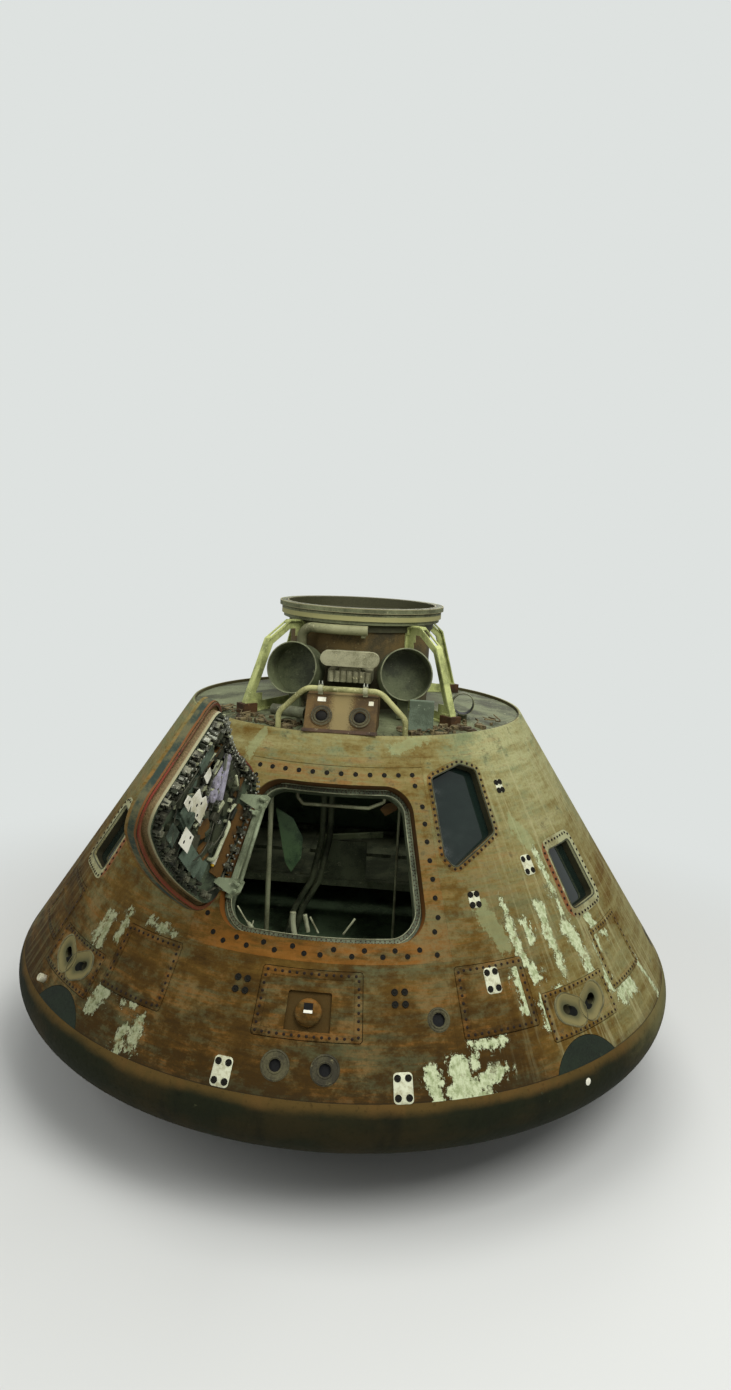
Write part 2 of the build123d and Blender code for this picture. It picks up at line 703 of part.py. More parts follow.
forward_outline = [(azimuth, shoulder_z - drop) for azimuth, drop in FORWARD_GLASS]
side_outline = [(azimuth, belt_z + height) for azimuth, height in SIDE_GLASS]
window_wall, forward_frame, forward_glass = window(window_wall, forward_outline, FORWARD_FRAME_RIM)
side_wall, side_frame, side_glass = window(side_wall, side_outline, SIDE_FRAME_RIM)
keep_pair("window_wall", window_wall)
keep_both("forward_window_frames", forward_frame)
keep_both("forward_window_panes", forward_glass)
keep_pair("side_wall", side_wall)
keep_both("side_window_frames", side_frame)
keep_both("side_window_panes", side_glass)
keep_pair("rear_wall", rear_wall)


# Doorway: the opening with rounded corners, and a metal frame set deeper in it
def door_patch(inset, depth_from, depth_to):
    """Rounded piece of the wall with the doorway's outline drawn in by inset."""
    return wall_patch(
        door_low_z,
        door_high_z,
        -DOOR_HALF_ANGLE,
        DOOR_HALF_ANGLE,
        DOOR_CORNER_RADIUS,
        depth_from,
        depth_to,
        inset,
    )


surround_seam_z = shoulder_z - SURROUND_SEAM_DROP
surround -= wall_sector(
    surround_seam_z,
    surround_seam_z + SEAM_GROOVE,
    -SURROUND_HALF_ANGLE,
    SURROUND_HALF_ANGLE,
    -SEAM_GROOVE,
    SEAM_GROOVE,
)
keep("hatch_surround", surround - door_patch(0, -WALL, 2 * WALL))
frame_outside = door_patch(PANEL_GAP, frame_depth, WALL)
keep("doorway_frame", frame_outside - door_patch(FRAME_LIP, -WALL, 2 * WALL))

# Hinge line: a little proud of the wall, along the slope beside the doorway
hinge_plane = wall_plane(HINGE_AZIMUTH, door_middle_z, -HINGE_PROUD)
hinge_axis = Axis(hinge_plane.origin, hinge_plane.y_dir)


def jamb_x(z):
    """How far the doorway's edge lies from the hinge line, at a level."""
    return radians(-DOOR_HALF_ANGLE - HINGE_AZIMUTH) * cone_r(z)


def opened(shape):
    """The hatch as it stands: swung out about the hinge line."""
    return shape.rotate(hinge_axis, -OPEN_ANGLE)


def across_hinge(level, outline, thick, offset_along=0):
    """Plate square to the hinge line: outline as (distance from the pin, height above it)."""
    plane = wall_plane(HINGE_AZIMUTH, level, -HINGE_PROUD)
    seat = Plane(origin=plane.origin, x_dir=plane.x_dir, z_dir=-plane.y_dir)
    face = make_face(Polyline(outline, close=True))
    return seat * Pos(0, 0, offset_along - thick / 2) * extrude(face, thick)


def on_hinge(level, radius, length):
    """Round bar on the hinge line."""
    plane = wall_plane(HINGE_AZIMUTH, level, -HINGE_PROUD)
    return Plane(origin=plane.origin, x_dir=plane.x_dir, z_dir=-plane.y_dir) * Cylinder(radius, length)


# Hinge brackets: gooseneck plates with their pins, on a bar along the doorway frame
bar_from = jamb_x(hinge_levels[0]) + JAMB_CLEAR
bar_to = bar_from + BAR_WIDTH
bar_foot = -(frame_depth + HINGE_PROUD)
neck_outline = [
    (bar_from, bar_foot + PANEL_GAP),
    (bar_to, bar_foot + PANEL_GAP),
    (bar_to, bar_foot + 2 * BAR_THICK),
    (KNUCKLE_RADIUS, KNUCKLE_RADIUS / 2),
    (-KNUCKLE_RADIUS / 2, KNUCKLE_RADIUS / 2),
    (-KNUCKLE_RADIUS / 2, -KNUCKLE_RADIUS / 2),
    (bar_from, -HINGE_PROUD + JAMB_CLEAR),
]
bar_outline = [
    (bar_from, bar_foot),
    (bar_to, bar_foot),
    (bar_to, bar_foot + BAR_THICK),
    (bar_from, bar_foot + BAR_THICK),
]
hinge_middle_z = sum(hinge_levels) / 2
bar_length = (hinge_levels[1] - hinge_levels[0]) / cos(half) + BAR_OVERHANG
pin_length = HINGE_PLATE_THICK + 2 * (LUG_THICK + LUG_GAP)
hinge_fixed = across_hinge(hinge_middle_z, bar_outline, bar_length)
for level in hinge_levels:
    hinge_fixed += across_hinge(level, neck_outline, HINGE_PLATE_THICK)
    hinge_fixed += on_hinge(level, KNUCKLE_RADIUS, HINGE_PLATE_THICK)
    hinge_fixed += on_hinge(level, HINGE_PIN_RADIUS, pin_length)
keep("hinge_brackets", hinge_fixed)

# Hatch, made in its closed place: ablator shell with hinge lugs, seal, inner plate and window
notch_low = bar_foot - WALL
notch_to = bar_to + SWING_ROOM
notch_outline = [
    (-KNUCKLE_RADIUS, notch_low),
    (notch_to, notch_low),
    (notch_to, HINGE_PROUD),
    (-KNUCKLE_RADIUS, HINGE_PROUD),
]
bar_room_outline = [
    (-KNUCKLE_RADIUS, notch_low),
    (notch_to, notch_low),
    (notch_to, bar_foot + BAR_THICK + SWING_ROOM),
    (-KNUCKLE_RADIUS, bar_foot + BAR_THICK + SWING_ROOM),
]
bar_room = across_hinge(hinge_middle_z, bar_room_outline, bar_length + 2 * SWING_ROOM)


def lug_outline(level):
    """Outline of a hatch lug: round the pin, over the doorway's edge, and down into the shell."""
    shell_edge = jamb_x(level) + HATCH_GAP
    return [
        (-LUG_RADIUS, -LUG_RADIUS),
        (-LUG_RADIUS, LUG_RADIUS),
        (LUG_RADIUS, LUG_RADIUS),
        (shell_edge + LUG_REACH, -HINGE_PROUD + LUG_TOP_HEIGHT),
        (shell_edge + LUG_REACH, -HINGE_PROUD - LUG_ROOT_DEPTH),
        (shell_edge, -HINGE_PROUD - LUG_ROOT_DEPTH),
        (shell_edge, -HINGE_PROUD + JAMB_CLEAR),
    ]


window_plane = wall_plane(0, door_high_z - HATCH_WINDOW_DROP)
window_bore = window_plane * Cylinder(HATCH_WINDOW_RADIUS, 4 * WALL)
plate_from = HATCH_SHELL_THICK + PANEL_GAP
plate_to = plate_from + HATCH_PLATE_THICK
plate_inset = FRAME_LIP + HATCH_INNER_GAP
shell = door_patch(HATCH_GAP, 0, HATCH_SHELL_THICK) - window_bore - bar_room
plate = door_patch(plate_inset, plate_from, plate_to) - window_bore - bar_room
for level in hinge_levels:
    notch = across_hinge(level, notch_outline, HINGE_PLATE_THICK + 2 * LUG_GAP)
    shell -= notch
    plate -= notch
    for side in (-1, 1):
        lug_at = side * (HINGE_PLATE_THICK / 2 + LUG_GAP + LUG_THICK / 2)
        shell += across_hinge(level, lug_outline(level), LUG_THICK, lug_at)
    shell -= on_hinge(level, HINGE_PIN_RADIUS + HINGE_FIT, pin_length + LUG_THICK)
keep("hatch_shell", opened(shell))
keep("hatch_inner_plate", opened(plate))
seal = door_patch(HATCH_GAP + SEAL_INSET, plate_from, plate_from + HATCH_SEAL_THICK)
seal -= door_patch(HATCH_GAP + SEAL_INSET + SEAL_WIDTH, -WALL, 2 * WALL)
keep("hatch_seal", opened(seal - bar_room))
hatch_glass = Cylinder(HATCH_WINDOW_RADIUS - PANEL_GAP, GLASS_THICK)
keep("hatch_window_glass", opened(window_plane * Pos(0, 0, -HATCH_SHELL_THICK / 2) * hatch_glass))

# Latches round the inner plate, joined by rods
face_depth = plate_to + PANEL_GAP / 2
latch_from_edge = plate_inset + LATCH_INSET
latch_low_z = door_low_z + latch_from_edge * cos(half)
latch_high_z = door_high_z - latch_from_edge * cos(half)


def plate_azimuth(z, inset):
    """Azimuth of a place this far in from the doorway's right edge, at a level."""
    return DOOR_HALF_ANGLE - degrees(inset / cone_r(z))


def seat_on_plate(azimuth, z, width):
    """Seat on the inside of the closed hatch for a piece this wide, clear of the face's curve."""
    sag = (width / 2) ** 2 * cos(half) / (2 * inside_r(z, plate_to))
    return Location(wall_plane(azimuth, z, face_depth + sag))


def seated_block(azimuth, z, size):
    """Block standing on the inside of the closed hatch."""
    return seat_on_plate(azimuth, z, size[0]) * Pos(0, 0, -size[2] / 2) * Box(*size)


side_latch_low = latch_low_z + DOOR_CORNER_RADIUS / 2 * cos(half)
side_latch_high = latch_high_z - DOOR_CORNER_RADIUS / 2 * cos(half)
end_latch_reach = plate_azimuth(door_middle_z, latch_from_edge + DOOR_CORNER_RADIUS / 2)
latch_places = []
for step in range(SIDE_LATCHES):
    z = side_latch_low + (side_latch_high - side_latch_low) * step / (SIDE_LATCHES - 1)
    latch_places += [(side * plate_azimuth(z, latch_from_edge), z) for side in (-1, 1)]
for step in range(END_LATCHES):
    azimuth = end_latch_reach * (2 * step / (END_LATCHES - 1) - 1)
    latch_places += [(azimuth, latch_low_z), (azimuth, latch_high_z)]


def latch(azimuth, z):
    """Latch on the closed hatch's inside: a base, two cheeks and a roller between them."""
    cheek_height = LATCH_HEIGHT - LATCH_BASE
    shape = seated_block(azimuth, z, (LATCH_WIDTH, LATCH_LENGTH, LATCH_BASE))
    seat = seat_on_plate(azimuth, z, LATCH_WIDTH)
    for side in (-1, 1):
        cheek_at = Pos(side * (LATCH_WIDTH - LATCH_CHEEK) / 2, 0, -LATCH_BASE - cheek_height / 2)
        shape += seat * cheek_at * Box(LATCH_CHEEK, LATCH_LENGTH - LATCH_CHEEK, cheek_height)
    roller_at = Pos(0, 0, LATCH_ROLLER_RADIUS - LATCH_HEIGHT)
    return shape + seat * roller_at * Rot(0, 90, 0) * Cylinder(LATCH_ROLLER_RADIUS, LATCH_WIDTH - LATCH_CHEEK)


def rod(start, end, radius):
    """Round bar between two points."""
    run = end - start
    return Plane(origin=(start + end) / 2, z_dir=run) * Cylinder(radius, run.length)


def round_the_plate(place):
    """Angle of a latch about the doorway's middle, so that rods run from each to the next."""
    azimuth, z = place
    return atan2((z - door_middle_z) / cos(half), radians(azimuth) * cone_r(z))


latch_places.sort(key=round_the_plate)
latch_shapes = [latch(*place) for place in latch_places]
for place, after in zip(latch_places, latch_places[1:] + latch_places[:1]):
    ends = [seat_on_plate(*at, LATCH_WIDTH) * Pos(0, 0, -LATCH_BASE / 2) for at in (place, after)]
    latch_shapes.append(rod(ends[0].position, ends[1].position, LATCH_ROD_RADIUS))
keep("hatch_latches", opened(latch_shapes[0].fuse(*latch_shapes[1:])))

# Gearbox that drives the latches, with the flat fittings beside it
gearbox_z = door_low_z + GEARBOX_HEIGHT
gearbox_seat = seat_on_plate(GEARBOX_AZIMUTH, gearbox_z, GEARBOX_SIZE[0])
gearbox_top = gearbox_seat * Pos(0, 0, -GEARBOX_SIZE[2])
gearbox = seated_block(GEARBOX_AZIMUTH, gearbox_z, GEARBOX_SIZE)
gearbox_plate_at = Pos(*GEARBOX_PLATE_SHIFT, -GEARBOX_PLATE_THICK / 2)
gearbox += gearbox_top * gearbox_plate_at * Box(*GEARBOX_PLATE_SIZE, GEARBOX_PLATE_THICK)
gearbox += gearbox_top * Pos(0, 0, -GEARBOX_PLATE_THICK) * Cylinder(KNOB_RADIUS, 2 * KNOB_PROUD)
fittings = [gearbox]
for azimuth, height, width, length, thick in PLATE_FITTINGS:
    fittings.append(seated_block(azimuth, door_low_z + height, (width, length, thick)))
keep("hatch_gearbox", opened(Compound(fittings)))

# Vent valve: a round dome on the plate
valve_body = Cylinder(VALVE_RADIUS, VALVE_PROUD)
valve_body = fillet(valve_body.edges().sort_by(Axis.Z)[0], VALVE_PROUD / 2)
valve_seat = seat_on_plate(VALVE_AZIMUTH, door_low_z + VALVE_HEIGHT, 2 * VALVE_RADIUS)
keep("hatch_vent_valve", opened(valve_seat * Pos(0, 0, -VALVE_PROUD / 2) * valve_body))

# Bridge over the hatch window, with its two discs and the long lever
window_z = door_high_z - HATCH_WINDOW_DROP
bridge_length = 2 * (HATCH_WINDOW_RADIUS + BRIDGE_WINDOW_GAP + BRIDGE_FOOT)
bridge_seat = seat_on_plate(BRIDGE_AZIMUTH, window_z, BRIDGE_SIZE[0])
bridge_at = Pos(0, 0, -BRIDGE_HEIGHT - BRIDGE_SIZE[1] / 2)
bridge = bridge_seat * bridge_at * Box(BRIDGE_SIZE[0], bridge_length, BRIDGE_SIZE[1])
for side in (-1, 1):
    foot_at = Pos(0, side * (bridge_length - BRIDGE_FOOT) / 2, -BRIDGE_HEIGHT / 2)
    bridge += bridge_seat * foot_at * Box(BRIDGE_SIZE[0], BRIDGE_FOOT, BRIDGE_HEIGHT)
bridge_top = bridge_seat * Pos(0, 0, -BRIDGE_HEIGHT - BRIDGE_SIZE[1])
for across, up, radius in BRIDGE_DISCS:
    bridge += bridge_top * Pos(across, up, -DISC_THICK / 2) * Cylinder(radius, DISC_THICK)
for across, up, radius in BRIDGE_DISCS:
    bridge -= bridge_top * Pos(across, up, -DISC_THICK) * Cylinder(DISC_BORE_RADIUS, DISC_THICK)
lever_at = Pos(*LEVER_SHIFT, -LEVER_SIZE[2] / 2) * Rot(0, 0, LEVER_TURN)
bridge += bridge_top * lever_at * Box(*LEVER_SIZE)
keep("hatch_lever", opened(bridge))

# Handle: a bent tube that stands off the plate near the hinge side
handle_seat = seat_on_plate(HANDLE_AZIMUTH, door_low_z + HANDLE_HEIGHT, 2 * HANDLE_TUBE_RADIUS)
handle_points = [
    (0, -HANDLE_HALF_LENGTH, -PANEL_GAP / 2),
    (0, -HANDLE_HALF_LENGTH, -HANDLE_STANDOFF),
    (0, HANDLE_HALF_LENGTH, -HANDLE_STANDOFF),
    (0, HANDLE_HALF_LENGTH, -PANEL_GAP / 2),
]
handle_path = FilletPolyline(*handle_points, radius=HANDLE_BEND_RADIUS)
handle_start = Plane(origin=handle_points[0], z_dir=(0, 0, -1))
keep("hatch_handle", opened(handle_seat * sweep(handle_start * Circle(HANDLE_TUBE_RADIUS), path=handle_path)))

# Forward ring: the top of the cone wall, with a raised lip round the deck
deck_edge_z = lip_z - DECK_EDGE_DROP
deck_tunnel_z = deck_edge_z + DECK_SLOPE_RISE
lip_inner_r = LIP_RADIUS - LIP_THICK
ledge_z = deck_edge_z - DECK_THICK - PANEL_GAP
ring_low_z = shoulder_z + PANEL_GAP / 2 * cos(half)
keep(
    "forward_ring",
    ring_of(
        [
            wall_rz(ring_low_z, 0),
            (cone_r(lip_z), lip_z),
            (lip_inner_r, lip_z),
            (lip_inner_r, ledge_z),
            (inside_r(ledge_z), ledge_z),
            wall_rz(ring_low_z, WALL),
        ]
    ),
)

# Forward deck: a low cone from the lip up to the tunnel
tunnel_out = TUNNEL_RADIUS + TUNNEL_WALL
deck_in = tunnel_out + PANEL_GAP
deck_edge = lip_inner_r - PANEL_GAP


def deck_z(r):
    """Level of the deck's top at a radius."""
    return deck_edge_z + (deck_edge - r) / (deck_edge - deck_in) * DECK_SLOPE_RISE


keep(
    "forward_deck",
    ring_of(
        [
            (deck_edge, deck_edge_z - DECK_THICK),
            (deck_edge, deck_edge_z),
            (deck_in, deck_tunnel_z),
            (deck_in, deck_tunnel_z - DECK_THICK),
        ]
    ),
)

# Docking ring, worked out from its top down, and the tunnel under it
ring_top_z = lip_z + RING_TOP_HEIGHT
flange_z = ring_top_z - FLANGE_THICK
band_top_z = flange_z - RING_GROOVE_HEIGHT
band_z = band_top_z - BAND_HEIGHT
neck_z = band_z - NECK_HEIGHT
root_z = neck_z - NECK_SLOPE_HEIGHT
ring_foot_z = root_z - ROOT_HEIGHT
root_r = tunnel_out + ROOT_REACH
neck_r = tunnel_out + NECK_REACH
band_r = tunnel_out + BAND_REACH
flange_r = tunnel_out + FLANGE_REACH
bore_r = tunnel_out + BORE_REACH
keep(
    "docking_ring",
    ring_of(
        [
            (TUNNEL_RADIUS, ring_foot_z),
            (root_r, ring_foot_z),
            (root_r, root_z),
            (neck_r, neck_z),
            (neck_r, band_z),
            (band_r, band_z),
            (band_r, band_top_z),
            (neck_r, band_top_z),
            (neck_r, flange_z),
            (flange_r, flange_z),
            (flange_r, ring_top_z),
            (bore_r, ring_top_z),
            (bore_r, ring_top_z - BORE_STEP_DEPTH),
            (TUNNEL_RADIUS, ring_top_z - BORE_STEP_DEPTH),
        ]
    ),
)
keep(
    "tunnel_wall",
    ring_of(
        [
            (TUNNEL_RADIUS, tunnel_foot_z),
            (tunnel_out, tunnel_foot_z),
            (tunnel_out, ring_foot_z - PANEL_GAP),
            (TUNNEL_RADIUS, ring_foot_z - PANEL_GAP),
        ]
    ),
)

# Gussets: flanged webs that brace the tunnel, on foot blocks
foot_r = deck_edge - FOOT_INSET
knee_r = foot_r - KNEE_INSET
foot_z = deck_edge_z + FOOT_HEIGHT + (deck_z(foot_r) - deck_edge_z)
foot_in = foot_r - FOOT_LENGTH / 2
foot_out = foot_r + FOOT_LENGTH / 2
gusset_outline = [
    (deck_in, deck_tunnel_z + PANEL_GAP),
    (foot_in, deck_z(foot_in) + PANEL_GAP),
    (foot_in, foot_z + PANEL_GAP),
    (foot_r + FOOT_LENGTH / 4, foot_z + PANEL_GAP),
    (knee_r, neck_z - KNEE_DROP),
    (neck_r + GUSSET_TOP_REACH, neck_z - PANEL_GAP),
    (neck_r + PANEL_GAP, neck_z - PANEL_GAP),
    (root_r + PANEL_GAP, root_z - PANEL_GAP),
    (root_r + PANEL_GAP, ring_foot_z - PANEL_GAP),
    (deck_in, ring_foot_z - PANEL_GAP),
]
gusset_face = make_face(Polyline(gusset_outline, close=True))
gusset_open = offset(gusset_face, -GUSSET_FLANGE, kind=Kind.INTERSECTION)
upright = Plane(origin=(0, 0, 0), x_dir=(0, -1, 0), z_dir=(-1, 0, 0))
gusset = upright * Pos(0, 0, -GUSSET_WIDTH / 2) * extrude(gusset_face - gusset_open, GUSSET_WIDTH)
gusset_web = gusset_face - offset(gusset_face, -GUSSET_WEB_BAND, kind=Kind.INTERSECTION)
gusset += upright * Pos(0, 0, -GUSSET_WEB / 2) * extrude(gusset_web, GUSSET_WEB)

# The upper arm's outer flange is slotted, so that it shows as two rails
arm_start = Vector(knee_r, neck_z - KNEE_DROP)
arm_end = Vector(neck_r + GUSSET_TOP_REACH, neck_z)
arm_middle = (arm_start + arm_end) / 2
arm_turn = degrees(atan2(arm_end.Y - arm_start.Y, arm_end.X - arm_start.X))
slot_length = (arm_end - arm_start).length - 2 * GUSSET_SLOT_MARGIN
slot_at = upright * Pos(arm_middle.X, arm_middle.Y, 0) * Rot(0, 0, arm_turn)
gusset -= slot_at * Box(slot_length, 2 * GUSSET_SLOT_DEPTH, GUSSET_SLOT_WIDTH)
foot_outline = [
    (foot_in + PANEL_GAP, deck_z(foot_in) + PANEL_GAP),
    (foot_out, deck_z(foot_out) + PANEL_GAP),
    (foot_out, foot_z),
    (foot_in + PANEL_GAP, foot_z),
]
foot_face = make_face(Polyline(foot_outline, close=True))
foot = upright * Pos(0, 0, -FOOT_WIDTH / 2) * extrude(foot_face, FOOT_WIDTH)
keep("gussets", Compound([at_azimuth(gusset, azimuth) for azimuth in GUSSET_AZIMUTHS]))
keep("gusset_feet", Compound([at_azimuth(foot, azimuth) for azimuth in GUSSET_AZIMUTHS]))


# Parachute mortar tubes: open cups on pedestals, between the front gussets
def cup(radius, wall, length):
    """Open tube along +Z with its mouth at Z = 0 and a closed end below."""
    outside = Pos(0, 0, -length / 2) * Cylinder(radius, length)
    return outside - Pos(0, 0, wall - length / 2) * Cylinder(radius - wall, length)


def aimed(x, y, z, azimuth, tilt):
    """Plane whose Z points out at an azimuth, raised by an angle."""
    a = radians(azimuth)
    e = radians(tilt)
    return Plane(
        origin=(x, y, z),
        x_dir=(cos(a), sin(a), 0),
        z_dir=(sin(a) * cos(e), -cos(a) * cos(e), sin(e)),
    )


def pedestal(x, y, top, width, length):
    """Upright block from the deck up to a level; the deck is highest under its inmost corner."""
    corner_r = hypot(max(abs(x) - width / 2, 0), max(abs(y) - length / 2, 0))
    low = deck_z(max(deck_in, corner_r)) + PANEL_GAP / 2
    return Pos(x, y, (low + top) / 2) * Box(width, length, top - low)


gusset_a = radians(GUSSET_AZIMUTHS[0])
mortar_along = deck_edge - MORTAR_INSET
mortar_aside = MORTAR_RADIUS + MORTAR_STANDOFF
mortar_x = mortar_along * sin(gusset_a) - mortar_aside * cos(gusset_a)
mortar_y = -mortar_along * cos(gusset_a) - mortar_aside * sin(gusset_a)
mortar_z = lip_z + MORTAR_HEIGHT
mortar_seat = aimed(mortar_x, mortar_y, mortar_z, MORTAR_AZIMUTH, MORTAR_TILT)
mortar_core = mortar_seat * Cylinder(MORTAR_RADIUS - MORTAR_WALL / 2, 2 * MORTAR_LENGTH)
mortar_foot = pedestal(
    mortar_x - MORTAR_LENGTH / 2 * sin(radians(MORTAR_AZIMUTH)),
    mortar_y + MORTAR_LENGTH / 2 * cos(radians(MORTAR_AZIMUTH)),
    mortar_z,
    MORTAR_FOOT_WIDTH,
    MORTAR_FOOT_LENGTH,
)
mortar = mortar_seat * cup(MORTAR_RADIUS, MORTAR_WALL, MORTAR_LENGTH) + (mortar_foot - mortar_core)
keep_pair("mortar_tube", mortar)

# Pitch engine box: its sloping front carries on the cone's line, with two nozzle ports
pitch_low_z = lip_z + PITCH_BASE_GAP
pitch_high_z = pitch_low_z + PITCH_HEIGHT
pitch_front_r = cone_r(pitch_high_z) - PITCH_SETBACK
pitch_back_r = pitch_front_r - PITCH_TOP_LENGTH
box_outline = [
    (cone_r(pitch_low_z) - PITCH_SETBACK, pitch_low_z),
    (pitch_front_r, pitch_high_z),
    (pitch_back_r, pitch_high_z),
    (pitch_back_r, deck_z(pitch_back_r) + PANEL_GAP),
    (cone_r(pitch_low_z) - PITCH_SETBACK - DECK_THICK, pitch_low_z),
]
box_face = make_face(Polyline(box_outline, close=True))
pitch_box = upright * Pos(0, 0, -PITCH_WIDTH / 2) * extrude(box_face, PITCH_WIDTH)
for side in (-1, 1):
    port = wall_plane(0, pitch_low_z + PITCH_PORT_HEIGHT, PITCH_SETBACK)
    port_at = port.origin + Vector(side * PITCH_PORT_REACH, 0, 0)
    port_plane = Plane(origin=port_at, x_dir=port.x_dir, z_dir=port.z_dir)
    pitch_box += port_plane * Cylinder(PITCH_RING_RADIUS, 2 * PITCH_RING_PROUD)
    pitch_box -= port_plane * Cylinder(PITCH_BORE_RADIUS, 2 * PITCH_BORE_DEPTH)

# Recovery loop: a bent tube that stands in front of the engine box
loop_y = -sqrt((deck_edge - LOOP_INSET) ** 2 - LOOP_HALF_WIDTH**2)
loop_low_z = deck_z(deck_edge - LOOP_INSET - LOOP_TUBE_RADIUS) + PANEL_GAP / 2
loop_knee_z = lip_z + LOOP_KNEE_HEIGHT
loop_top_z = pitch_high_z + LOOP_BOX_GAP + LOOP_TUBE_RADIUS
loop_top_half = PITCH_WIDTH / 2 + LOOP_SIDE_GAP
loop_points = [
    (-LOOP_HALF_WIDTH, loop_y, loop_low_z),
    (-LOOP_HALF_WIDTH, loop_y, loop_knee_z),
    (-loop_top_half, loop_y, loop_top_z),
    (loop_top_half, loop_y, loop_top_z),
    (LOOP_HALF_WIDTH, loop_y, loop_knee_z),
    (LOOP_HALF_WIDTH, loop_y, loop_low_z),
]
loop_bends = [LOOP_LOW_BEND_RADIUS, LOOP_TOP_BEND_RADIUS, LOOP_TOP_BEND_RADIUS, LOOP_LOW_BEND_RADIUS]
loop_path = FilletPolyline(*loop_points, radius=loop_bends)
loop_start = Plane(origin=loop_points[0], z_dir=(0, 0, 1))
keep("recovery_loop", sweep(loop_start * Circle(LOOP_TUBE_RADIUS), path=loop_path))

# Clamps: saddles on the engine box that hold the loop's top run
clamp_bore = LOOP_TUBE_RADIUS + CLAMP_FIT
clamp_back_y = -(pitch_front_r - clamp_bore - CLAMP_THICK)
for side in (-1, 1):
    clamp_at = Pos(side * CLAMP_REACH, loop_y, loop_top_z)
    saddle = clamp_at * Rot(0, 90, 0) * Cylinder(clamp_bore + CLAMP_THICK, CLAMP_WIDTH)
    post_length = clamp_back_y - loop_y
    post_height = loop_top_z - pitch_high_z + clamp_bore
    post_at = Pos(side * CLAMP_REACH, loop_y + post_length / 2, pitch_high_z + post_height / 2)
    saddle += post_at * Box(CLAMP_WIDTH, post_length, post_height)
    pitch_box += saddle - clamp_at * Rot(0, 90, 0) * Cylinder(clamp_bore, 2 * CLAMP_WIDTH)
keep("pitch_engine_box", pitch_box)

# Sling pack: a pleated block and a round-ended bar above it, both carried on the tunnel's front
pack_front_y = -(tunnel_out + PACK_REACH)
pack_height = PACK_HIGH_HEIGHT - PACK_LOW_HEIGHT
pack_z = lip_z + (PACK_LOW_HEIGHT + PACK_HIGH_HEIGHT) / 2
pack = Pos(0, pack_front_y / 2, pack_z) * Box(2 * PACK_HALF_WIDTH, -pack_front_y, pack_height)
for pleat in range(PLEATS):
    pleat_x = (2 * pleat / (PLEATS - 1) - 1) * (PACK_HALF_WIDTH - PLEAT_RADIUS)
    pack += Pos(pleat_x, pack_front_y, pack_z) * Cylinder(PLEAT_RADIUS, pack_height)
bar_front_y = -(tunnel_out + PACK_BAR_REACH)
bar_z = lip_z + PACK_BAR_RISE + PACK_BAR_HEIGHT / 2
bar_face = Plane(origin=(0, bar_front_y, bar_z), x_dir=(1, 0, 0), z_dir=(0, -1, 0))
pack += bar_face * extrude(SlotOverall(2 * PACK_BAR_HALF_LENGTH, PACK_BAR_HEIGHT), -PACK_BAR_THICK)
neck_length = PACK_BAR_THICK / 2 - bar_front_y - PACK_BAR_THICK
neck_height = PACK_BAR_HEIGHT - 2 * PACK_NECK_INSET
pack += Pos(0, -neck_length / 2, bar_z) * Box(2 * PACK_NECK_HALF_WIDTH, neck_length, neck_height)
pack_web_height = bar_z - pack_z
pack_web = Box(2 * PACK_WEB_HALF_WIDTH, -pack_front_y, pack_web_height)
pack += Pos(0, pack_front_y / 2, pack_z + pack_web_height / 2) * pack_web
keep("sling_pack", pack - Pos(0, 0, pack_z) * Cylinder(tunnel_out + PANEL_GAP, RING_TOP_HEIGHT))

# Elbow duct: an upright from the deck, a bend, and a run round the tunnel under the docking ring
elbow_z = neck_z - ELBOW_RADIUS - ELBOW_RING_GAP
elbow_points = []
for azimuth, standoff in ELBOW_PLACES:
    elbow_r = tunnel_out + standoff
    elbow_points.append((elbow_r * sin(radians(azimuth)), -elbow_r * cos(radians(azimuth)), elbow_z))
elbow_x, elbow_y, _ = elbow_points[0]
elbow_low_z = deck_z(hypot(elbow_x, elbow_y) - ELBOW_RADIUS) + PANEL_GAP
elbow_path = FilletPolyline((elbow_x, elbow_y, elbow_low_z), *elbow_points, radius=ELBOW_BEND_RADII)
elbow_start = Plane(origin=(elbow_x, elbow_y, elbow_low_z), z_dir=(0, 0, 1))
elbow = sweep(elbow_start * Circle(ELBOW_RADIUS), path=elbow_path)
bracket_x, bracket_y, _ = elbow_points[-1]
bracket_at = Pos(bracket_x - ELBOW_BRACKET, bracket_y / 2, elbow_z - ELBOW_BRACKET_DROP)
elbow += bracket_at * Box(ELBOW_BRACKET, -bracket_y, ELBOW_BRACKET)
keep("elbow_duct", elbow - Pos(0, 0, elbow_z) * Cylinder(tunnel_out + PANEL_GAP, RING_TOP_HEIGHT))

# Upright box in front of the right mortar tube
deck_box_r = deck_edge - DECK_BOX_INSET
deck_box_x = deck_box_r * sin(radians(DECK_BOX_AZIMUTH))
deck_box_y = -deck_box_r * cos(radians(DECK_BOX_AZIMUTH))
keep("deck_box", pedestal(deck_box_x, deck_box_y, lip_z + DECK_BOX_HEIGHT, DECK_BOX_WIDTH, DECK_BOX_DEPTH))

# Canister beside the engine box, on two legs
canister_a = radians(CANISTER_AZIMUTH)
canister_x = -(PITCH_WIDTH / 2 + CANISTER_BOX_GAP + CANISTER_LENGTH / 2 * sin(canister_a))
canister_y = -sqrt((deck_edge - CANISTER_INSET) ** 2 - canister_x**2)
canister_z = lip_z + CANISTER_HEIGHT
canister_seat = aimed(canister_x, canister_y, canister_z, CANISTER_AZIMUTH, 0)
canister = canister_seat * Cylinder(CANISTER_RADIUS, CANISTER_LENGTH)
for share in CANISTER_LEG_SHARES:
    canister += pedestal(
        canister_x + share * CANISTER_LENGTH * sin(canister_a),
        canister_y - share * CANISTER_LENGTH * cos(canister_a),
        canister_z,
        CANISTER_LEG,
        CANISTER_LEG,
    )
keep("deck_canister", canister)

